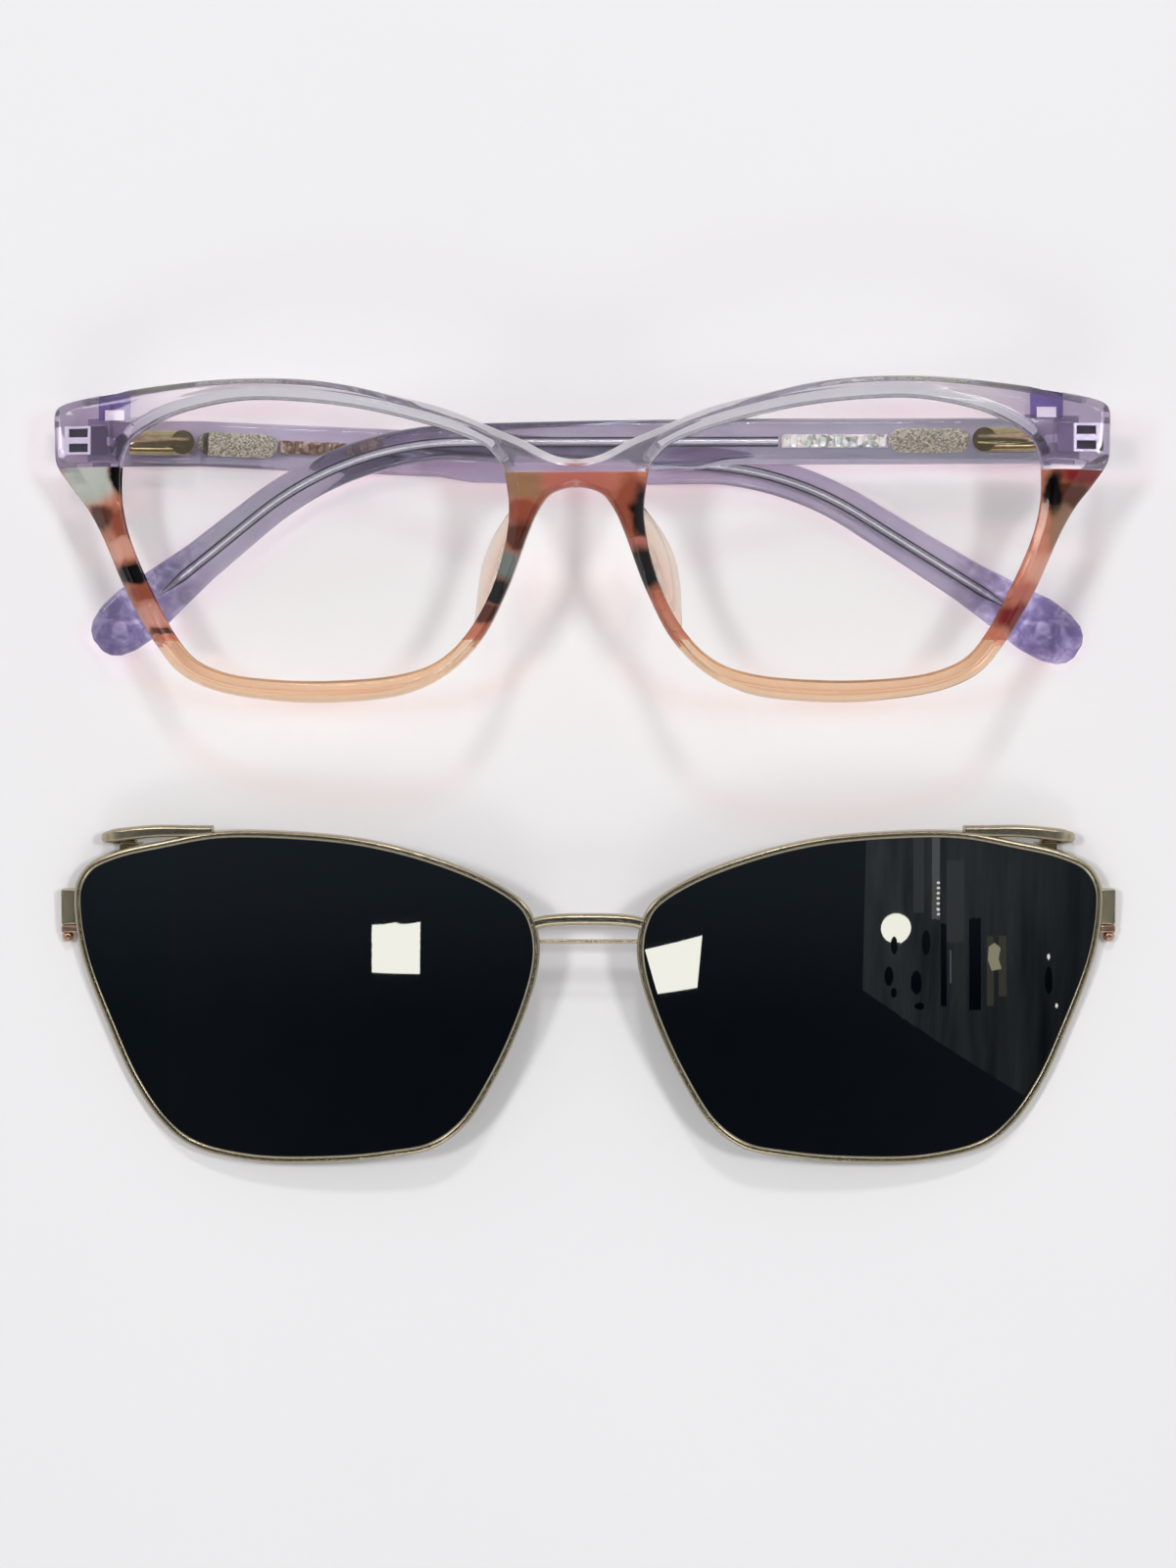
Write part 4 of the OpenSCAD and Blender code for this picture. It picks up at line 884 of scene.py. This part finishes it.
def temple_stations():
    """Even steps, and closer ones round the tip."""
    close = [7.4, 6.8, 6, 5.2, 4.5, 3.8, 3.2, 2.6, 2, 1.5, 1.1, 0.8, 0.5, 0.25, 0.08, 0]
    return list(np.linspace(-BUTT, TIP_S - 8, 150)) + [TIP_S - e for e in close]


def drooped(side):
    """Turn from the level part of a temple to its straight run."""
    return (Matrix.Translation((LEVEL_S, 0, 0)) @ Matrix.Rotation(-DROOP[side], 4, "Z")
            @ Matrix.Translation((-LEVEL_S, 0, 0)))


def temple(side):
    o = skin("temple_" + side + "_skin", [temple_ring(s, side) for s in temple_stations()])
    bed_len = STONE_PITCH * STONE_COUNT + 2 * STONE_MARGIN
    bed = box_mesh("bed", (STONE_S, -STONE_HALF, BED_W), (STONE_S + bed_len, STONE_HALF, 1))
    bed.data.transform(drooped(side))
    combined(o, bed, "DIFFERENCE")
    dress(placed(o, HINGED[side], "temple_arm_" + side), ARM, "temple_acetate", "temple_" + side)


def core_rings(side):
    """Round sections, smaller toward a pointed end."""
    end = TIP_S - CORE_SHORT
    for s in list(np.linspace(CORE_START, end - CORE_POINT, 90)) + [end - 3, end - 2, end - 1, end - 0.3, end]:
        p, g = path(s, side)
        r = CORE_R if s <= end - CORE_POINT else CORE_R * (0.12 + 0.88 * (end - s) / CORE_POINT)
        yield [(p[0] + math.sin(g) * r * math.cos(t), p[1] + math.cos(g) * r * math.cos(t),
                -INNER_OFF - CORE_DEEP - r * math.sin(t)) for t in np.linspace(0, 2 * math.pi, 20, endpoint=False)]


def core_wire(side):
    o = placed(skin("wire_" + side, core_rings(side)), HINGED[side], "temple_arm_" + side)
    dress(o, WIRE, "core_wire", "core_wire_" + side)


for side in SIDES:
    temple(side)
    core_wire(side)

# ---- clip
clip_loop = ring_curve(CLIP_ROWS, 8)
clip_normals = loop_normals(clip_loop)


def rim_rings():
    """Sections of the grooved rim wire."""
    c, lo, hi = 0.25, CLIP_GAP, CLIP_GAP + WIRE_D
    ta, tb = TINT_MID - TINT_T / 2, TINT_MID + TINT_T / 2
    for o, n in zip(clip_loop, clip_normals):
        q, g = o - n * WIRE_W, o - n * (WIRE_W - TINT_GRIP)
        raw = [on_bow(o, lo + c), on_bow(o - n * c, lo), on_bow(q + n * c, lo), on_bow(q, lo + c),
               on_bow(q, ta), on_bow(g, ta), on_bow(g, tb), on_bow(q, tb),
               on_bow(q, hi - c), on_bow(q + n * c, hi), on_bow(o - n * c, hi), on_bow(o, hi - c)]
        yield rounded(raw, [0.2] * 4 + [0] * 4 + [0.2] * 4, 2)


def clip_rim(side, rings):
    """Rim with its lock block, the lower half of which is of the redder metal."""
    rim = skin("rim_" + side, rings, True)
    u0, u1 = LOCK_U - LOCK_IN, LOCK_U + LOCK_OUT
    w = CLIP_GAP + LOCK_UP - sag(LOCK_U)
    upper = box_mesh("lock_upper", (u0, LOCK_V - SLIT_V + SLIT_HALF, w - LOCK_HALF_W),
                     (u1, LOCK_V + LOCK_HALF_V, w + LOCK_HALF_W), 0.22, 3)
    lower = box_mesh("lock_lower", (u0, LOCK_V - LOCK_HALF_V, w - LOCK_HALF_W),
                     (u1, LOCK_V - SLIT_V - SLIT_HALF, w + LOCK_HALF_W), 0.2, 3)
    first_lower = len(rim.data.polygons) + len(upper.data.polygons)
    joined(rim, upper, lower)
    dress(placed(rim, ON_CLIP[side], "clip_on"), GOLD, "clip_metal", "clip_rim_" + side)
    second_material(rim, ROSE_GOLD, range(first_lower, len(rim.data.polygons)))


def clip_lens(side):
    loop = clip_loop - clip_normals * (WIRE_W - TINT_GRIP + 0.01)
    o = bowed("tint_" + side, loop, TINT_MID + TINT_T / 2 - TINT_PLAY, TINT_MID - TINT_T / 2 + TINT_PLAY,
              ON_CLIP[side], "clip_on")
    dress(o, TINT, "tinted_lens", "clip_lens_" + side)


def strap_rings():
    """Strap on the top edge that curls round behind it."""
    rows = open_curve(STRAP_ROWS, 6)
    line = np.array([[u, v, CLIP_MID + up - sag(u)] for u, v, up, _ in rows])
    for i, (p, thick) in enumerate(zip(line, rows[:, 3])):
        d = line[min(i + 1, len(line) - 1)] - line[max(i - 1, 0)]
        n = unit([-d[2], d[0]])
        yield rounded([[p[0] + n[0] * a, p[1] + b, p[2] + n[1] * a]
                       for a, b in chamfered(STRAP_D / 2, thick / 2, STRAP_EDGE)], 0.2, 2)


def arch_rings():
    """Upper bridge bar, its left half the mirror of its right one."""
    half = open_curve(ARCH_PTS, 6)
    line = np.concatenate([half, (half[:-1] * [-1, 1])[::-1]])
    for i in range(len(line) - 1, -1, -1):
        d = line[min(i + 1, len(line) - 1)] - line[max(i - 1, 0)]
        n, p = unit([-d[1], d[0]]), line[i]
        yield rounded([[p[0] + n[0] * a, (p[1] + n[1] * a) * KV, CLIP_MID + b]
                       for a, b in chamfered(ARCH_HALF_H, ARCH_HALF_T, ARCH_EDGE)], 0.3)


rim = list(rim_rings())
for side in SIDES:
    clip_rim(side, rim)
    clip_lens(side)
for side in SIDES:
    o = placed(skin("strap_" + side, strap_rings()), ON_CLIP[side], "clip_on")
    dress(o, GOLD, "clip_metal", "clip_arm_" + side)
dress(placed(skin("arch", arch_rings()), CLIP, "clip_on"), GOLD, "clip_metal", "clip_bridge_arch")

# ---- cut stones
# Steps of a stone from its girdle to its table: half length, half height, height over the plate
STONE_EDGE = 0.2
STONE_STEPS = ((0.45, 0.8, 0), (0.45, 0.8, 0.15), (0.36, 0.7, 0.25), (0.22, 0.48, 0.34))
STONE_CORNERS = ((-1, -0.7), (-0.6, -1), (0.6, -1), (1, -0.7), (1, 0.7), (0.6, 1), (-0.6, 1), (-1, 0.7))


def cut_stone(s):
    """Step-cut stone at distance s, a little out of true."""
    tilt, skew = random.uniform(-0.05, 0.05), random.uniform(-0.08, 0.08)
    rings = []
    for hx, hy, up in STONE_STEPS:
        loose = up > STONE_EDGE
        rings.append([(s + sx * hx + sy * hy * skew * loose, sy * hy,
                       BED_W + STONE_PLATE_T + up + sx * tilt * loose) for sx, sy in STONE_CORNERS])
    return skin("stone", rings)


def stone_row(side, mat):
    """Setting plate with its row of stones."""
    length = STONE_PITCH * STONE_COUNT + 2 * STONE_MARGIN
    row = box_mesh("stones_" + side, (STONE_S, -STONE_HALF, BED_W),
                   (STONE_S + length, STONE_HALF, BED_W + STONE_PLATE_T), 0.06)
    joined(row, *[cut_stone(STONE_S + STONE_MARGIN + STONE_PITCH * (i + 0.5)) for i in range(STONE_COUNT)])
    placed(row, HINGED[side] @ drooped(side), "temple_arm_" + side, sharp=8)
    dress(row, mat, "crystal_stones", "stone_row_" + side)


stone_row("left", SHADED_STONES)
stone_row("right", GLINTING_STONES)

# ---- pieces that keep their CAD shape
BOTH, ONE = ("_left", "_right"), ("",)
# Piece, its sides, material, slot, and whether its edges are broken
KEPT = [
    ("hinge_plate", BOTH, PLATE, "hinge_steel", True), ("hinge_screw", BOTH, STEEL, "hinge_steel", False),
    ("hinge_slider", BOTH, STEEL, "hinge_steel", False), ("guide_rod", BOTH, STEEL, "hinge_steel", False),
    ("flex_spring", BOTH, STEEL, "hinge_steel", False), ("frame_magnet", BOTH, MAGNET, "magnet", True),
    ("spring_housing", BOTH, GILT, "hinge_gilt", True), ("glitter_inlay", BOTH, GLITTER, "glitter_foil", True),
    ("clip_lower_bar", ONE, GOLD, "clip_metal", False), ("clip_post", BOTH, GOLD, "clip_metal", True),
    ("clip_magnet", BOTH, MAGNET, "magnet", False), ("rim_screw", BOTH, ROSE_GOLD, "clip_metal", True)]
from_glasses = GLASSES.inverted()


def painted_window_shade(bm, sign):
    """A face of painted shade behind each window of a hinge plate, where the photograph shows it dark."""
    for row in (-1, 1):
        u, v, w = sign * (AXIS_U + WINDOW_IN), HINGE_V + row * WINDOW_STEP, BUTT_W + 0.1
        corners = [(u + sign * du, v + dv * WINDOW_V, w)
                   for du, dv in ((0, -0.5), (WINDOW_U, -0.5), (WINDOW_U, 0.5), (0, 0.5))]
        bm.faces.new([bm.verts.new((GLASSES @ Vector(c)) * MM) for c in corners]).material_index = 1


def kept(name, mat, slot, broken_edges):
    """Copy of a CAD piece with clean flat faces, smooth round ones and slightly broken edges."""
    cad = frame["nodes"][name]
    me = bpy.data.meshes.new(name + "_finish")
    with editing(cad.data, me) as bm:
        bmesh.ops.remove_doubles(bm, verts=bm.verts, dist=1e-8)
        bmesh.ops.dissolve_limit(bm, angle_limit=math.radians(0.6), verts=bm.verts, edges=bm.edges)
        here = bm.verts.layers.float_vector.new("uvw")
        if name.startswith("hinge_plate"):
            painted_window_shade(bm, -1 if name.endswith("left") else 1)
        for v in bm.verts:
            v[here] = from_glasses @ (v.co / MM)
    windows = [q.index for q in me.polygons if q.material_index == 1]
    shade_smooth(me, 35)
    o = added(name + "_finish", me)
    if broken_edges:
        e = o.modifiers.new("edges", "BEVEL")
        e.width, e.segments, e.limit_method, e.angle_limit = 0.00006, 2, "ANGLE", math.radians(38)
    o.modifiers.new("normals", "WEIGHTED_NORMAL").keep_sharp = True
    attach(o, body_of(cad)[0])
    dress(o, mat, slot, name)
    # the window faces take the painted shade
    if windows:
        second_material(o, SHADE, windows)


for piece, sides, mat, slot, broken_edges in KEPT:
    for side in sides:
        kept(piece + side, mat, slot, broken_edges)

# ---- table
TABLE_HALF, TABLE_DROP = 1.6, 0.0003
LIT_TO, EVEN_FROM = 0.2, 0.75


def table():
    """White table; far out, where the lamps don't reach, it keeps the tone that it has under the glasses."""
    s, z = TABLE_HALF, -TABLE_DROP
    me = bpy.data.meshes.new("table_top")
    me.from_pydata([(-s, -s, z), (s, -s, z), (s, s, z), (-s, s, z)], [], [(0, 1, 2, 3)])
    added("table_top", me)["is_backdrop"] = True
    mat, nt, bsdf, out = principled("table_white")
    here = node(nt, "TexCoord").outputs["Object"]
    grain = noise(nt, 6, 5, 0.6, 0, here)["Fac"]
    tone = ramp(nt, grain, [(0.3, (0.862, 0.853, 0.858)), (0.7, (0.878, 0.869, 0.874))])
    set_inputs(nt, bsdf, {"Base Color": tone, "Roughness": 0.55, "Specular IOR Level": 0.3})
    far = smooth_step(nt, vector_node(nt, "LENGTH", here)["Value"], LIT_TO, EVEN_FROM)
    path = node(nt, "LightPath").outputs
    seen = math_node(nt, "ADD", path["Is Camera Ray"], path["Is Transmission Ray"], True)
    even = node(nt, "Emission", {"Color": (0.83, 0.822, 0.83)}).outputs[0]
    feed(nt, mix_shader(nt, math_node(nt, "MULTIPLY", far, seen), bsdf.outputs[0], even), out.inputs["Surface"])
    me.materials.append(mat)


table()


# ---- light
def studio():
    """Even light for plain surfaces, and other surroundings for mirror images and clear plastic."""
    world = bpy.data.worlds.new("studio")
    bpy.context.scene.world = world
    world.use_nodes = True
    nt = world.node_tree
    height = node(nt, "SeparateXYZ", {0: node(nt, "TexCoord").outputs["Generated"]}).outputs[2]
    rays = node(nt, "LightPath").outputs
    # Reflections meet a dim ceiling above bright walls
    walls = ramp(nt, height, [(0.0, grey(0.75)), (0.35, grey(0.85)), (0.55, (0.42, 0.42, 0.44)),
                              (0.84, (0.09, 0.1, 0.12)), (1.0, (0.035, 0.045, 0.055))])
    # Light that has gone into the clear plastic meets bright and dark bands
    inside = ramp(nt, height, [(0.0, grey(1)), (0.3, (0.95, 0.95, 0.97)), (0.5, (0.12, 0.12, 0.14)),
                               (0.74, (0.25, 0.25, 0.28)), (0.89, grey(1)), (0.96, (1.7, 1.68, 1.6)),
                               (1.0, (1.9, 1.88, 1.8))])
    sky = mix_color(nt, rays["Is Glossy Ray"], (0.365, 0.365, 0.375), walls)
    sky = mix_color(nt, rays["Is Transmission Ray"], sky, inside)
    sky = mix_color(nt, rays["Is Camera Ray"], sky, (0.93, 0.93, 0.95))
    feed(nt, sky, nt.nodes["Background"].inputs["Color"])


def lamp(name, where, size, watts):
    """Rectangular lamp that faces the middle of the table."""
    data = bpy.data.lights.new(name, "AREA")
    data.shape = "RECTANGLE"
    data.size, data.size_y = size
    data.energy = watts
    o = added(name, data)
    o.location = where
    o.rotation_euler = (-Vector(where)).to_track_quat("-Z", "Y").to_euler()
    o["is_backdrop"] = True
    return o


studio()
for name, x in (("softbox_left", -0.4), ("softbox_right", 0.4)):
    lamp(name, (x, 0.1, 1.05), (0.13, 0.13), 3.1).visible_glossy = False
lamp("overhead", (0.0, 0.82, 1.1), (0.12, 0.12), 2.9)
lamp("fill", (0.0, -0.9, 1.0), (0.5, 0.3), 1.4)

# ---- what mirror images show
SENSOR, PICTURE_W, PICTURE_H = 36, 1200, 1600
HEIGHT, VIEW_H, CLOSER = 0.65, 0.2, 1.01
EYE = Vector((0, -0.0012, 0.018 + HEIGHT))
FOCAL = SENSOR * CLOSER * HEIGHT / VIEW_H


def glowing(name, colour, strength, streaks):
    """Plain light, or the uneven dim one of a wall with curtains."""
    mat = bpy.data.materials.new(name)
    mat.use_nodes = True
    nt = mat.node_tree
    nt.nodes.clear()
    if streaks:
        across, along = 9, 1.1
        here = vector_node(nt, "MULTIPLY", node(nt, "TexCoord").outputs["Generated"], (across, along, 0))[0]
        tone = noise(nt, 1, 4, 0.6, 0.3, here)["Fac"]
        from_left = math_node(nt, "DIVIDE", node(nt, "SeparateXYZ", {0: here}).outputs[0], across)
        fade = ramp(nt, from_left, [(0.0, grey(1)), (0.45, grey(0.75)), (1.0, grey(0.25))])
        shade = ramp(nt, tone, [(0.3, grey(0.1)), (0.75, grey(strength))])
        strength = math_node(nt, "MULTIPLY", shade, fade)
    light = node(nt, "Emission", {"Color": colour, "Strength": strength})
    node(nt, "OutputMaterial", {"Surface": light.outputs[0]})
    return mat


def card(name, outlines, colour, strength, streaks=False):
    """Flat bright shapes that only mirror images show."""
    ends = np.cumsum([0] + [len(o) for o in outlines])
    me = bpy.data.meshes.new(name)
    me.from_pydata([tuple(p) for o in outlines for p in o], [],
                   [tuple(range(a, b)) for a, b in zip(ends[:-1], ends[1:])])
    o = added(name, me)
    me.materials.append(glowing(name, colour, strength, streaks))
    o.visible_camera = o.visible_diffuse = o.visible_transmission = o.visible_shadow = False
    o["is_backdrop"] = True


def mirrored(side, x, y, z):
    """Place at height z that a dark lens shows at pixel x, y of the picture."""
    m = ON_CLIP[side]
    back = m.inverted()
    pixel = SENSOR / PICTURE_H / FOCAL
    ray = Vector(((x - PICTURE_W / 2) * pixel, (PICTURE_H / 2 - y) * pixel, -1)).normalized()
    ray = back.to_3x3() @ ray
    eye = back @ (EYE / MM)
    axis = TINT_MID + TINT_T / 2 - TINT_PLAY - BOW_R
    a, b = ray.x ** 2 + ray.z ** 2, eye.x * ray.x + (eye.z - axis) * ray.z
    c = eye.x ** 2 + (eye.z - axis) ** 2 - BOW_R ** 2
    hit = eye + ray * ((-b - math.sqrt(b * b - a * c)) / a)
    up = Vector((hit.x, 0, hit.z - axis)) / BOW_R
    ray = m.to_3x3() @ (ray - 2 * ray.dot(up) * up)
    hit = (m @ hit) * MM
    return hit + ray * ((z - hit.z) / ray.z)


def block(x0, y0, x1, y1):
    return [(x0, y0), (x1, y0), (x1, y1), (x0, y1)]


def oval(x, y, rx, ry, n=28):
    return [(x + rx * math.cos(k * 2 * math.pi / n), y + ry * math.sin(k * 2 * math.pi / n)) for k in range(n)]


# Outlines in picture pixels of what the dark lenses mirror: windows, a round lamp and a dim room
WINDOW_LEFT_PX = [[(379.5, 943), (429, 941.5), (428.5, 993.5), (379.5, 992.5)]]
WINDOW_RIGHT_PX = [[(658, 969), (716.5, 955), (711.5, 1007.5), (671, 1014.5)]]
ROUND_LAMP_PX = [oval(914.5, 947.5, 15.5, 15.5)]
WALL_RIGHT_PX = [[(884, 850), (1125, 850), (1125, 1000), (1045, 1118), (880, 1010)]]
WALL_LEFT_PX = [block(40, 840, 171, 1150)]
STRIPS_PX = [block(932, 845, 943, 932), block(966, 878, 984, 962)]
BRIGHT_STRIPS_PX = [block(951, 845, 959, 938), block(969, 970, 971, 1002)]
FAR_WINDOW_PX = [block(1007, 955, 1014, 1026), block(1019, 955, 1027, 1016)]
FAR_LIGHT_PX = [[(1009, 966), (1015, 962), (1021, 967), (1019, 978), (1022, 988), (1012, 990), (1008, 979)]]
DARK_THINGS_PX = [
    block(960, 943, 966, 1026), block(989, 938, 1001, 1030), oval(912.5, 965, 3.5, 9), oval(945, 962, 4.5, 13),
    oval(935, 1002, 5.5, 12), oval(907, 996, 4.5, 10), oval(938, 1026, 5, 4), oval(1070, 1000, 4, 14),
    oval(912, 1013, 3, 5)]
SMALL_LIGHTS_PX = [oval(957.5, 901 + 5.4 * k, 1.8, 1.3, 8) for k in range(7)]
SMALL_LIGHTS_PX += [oval(1070, 976, 1.6, 3, 8), oval(1078, 1026, 1.5, 2.4, 8)]
# Name, lens, outlines, height in metres, colour, strength; the lower ones cover those above
ROOM = [
    ("window_left", "left", WINDOW_LEFT_PX, 1.15, (1, 1, 0.9), 18.5),
    ("window_right", "right", WINDOW_RIGHT_PX, 1.15, (1, 1, 0.9), 18.5),
    ("round_lamp", "right", ROUND_LAMP_PX, 1.13, (1, 1, 0.88), 18),
    ("room_wall", "right", WALL_RIGHT_PX, 1.15, (0.9, 1, 0.98), 0.75),
    ("room_wall_left", "left", WALL_LEFT_PX, 1.15, (0.7, 0.9, 1), 0.1),
    ("room_strips", "right", STRIPS_PX, 1.145, (0.95, 1, 0.98), 0.55),
    ("room_strip_bright", "right", BRIGHT_STRIPS_PX, 1.143, (0.95, 1, 0.98), 1.3),
    ("room_window", "right", FAR_WINDOW_PX, 1.145, (1, 0.92, 0.66), 0.7),
    ("room_window_bright", "right", FAR_LIGHT_PX, 1.14, (1, 0.93, 0.62), 4.5),
    ("room_dark", "right", DARK_THINGS_PX, 1.125, (0, 0, 0), 0),
    ("room_lights", "right", SMALL_LIGHTS_PX, 1.12, (1, 1, 0.95), 14)]
for name, side, outlines, z, colour, strength in ROOM:
    card(name, [[mirrored(side, x, y, z) for x, y in o] for o in outlines], colour, strength,
         streaks=name == "room_wall")

# The lamps' mirror images along rounded edges: middle x and y, half sizes, strength
GLOWS = [("glow_back", 0, 0.72, 0.45, 0.07, 3.2), ("glow_left", -0.75, 0.42, 0.15, 0.17, 7.5),
         ("glow_right", 0.75, 0.42, 0.15, 0.17, 7.5)]
GLOW_Z = 0.9
for name, x, y, a, b, strength in GLOWS:
    outline = block(x - a, y - b, x + a, y + b)
    card(name, [[(px, py, GLOW_Z) for px, py in outline]], (1, 1, 0.98), strength)

# ---- camera
cam_data = bpy.data.cameras.new("camera")
cam_data.sensor_width = SENSOR
cam_data.lens = FOCAL
cam_data.clip_start = 0.01
cam = added("camera", cam_data)
cam.location = EYE
bpy.context.scene.camera = cam
bpy.context.scene.view_settings.view_transform = "Standard"

lo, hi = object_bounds()
{"before": [list(map(float, p)) for p in size_before], "after": [list(map(float, lo)), list(map(float, hi))]}
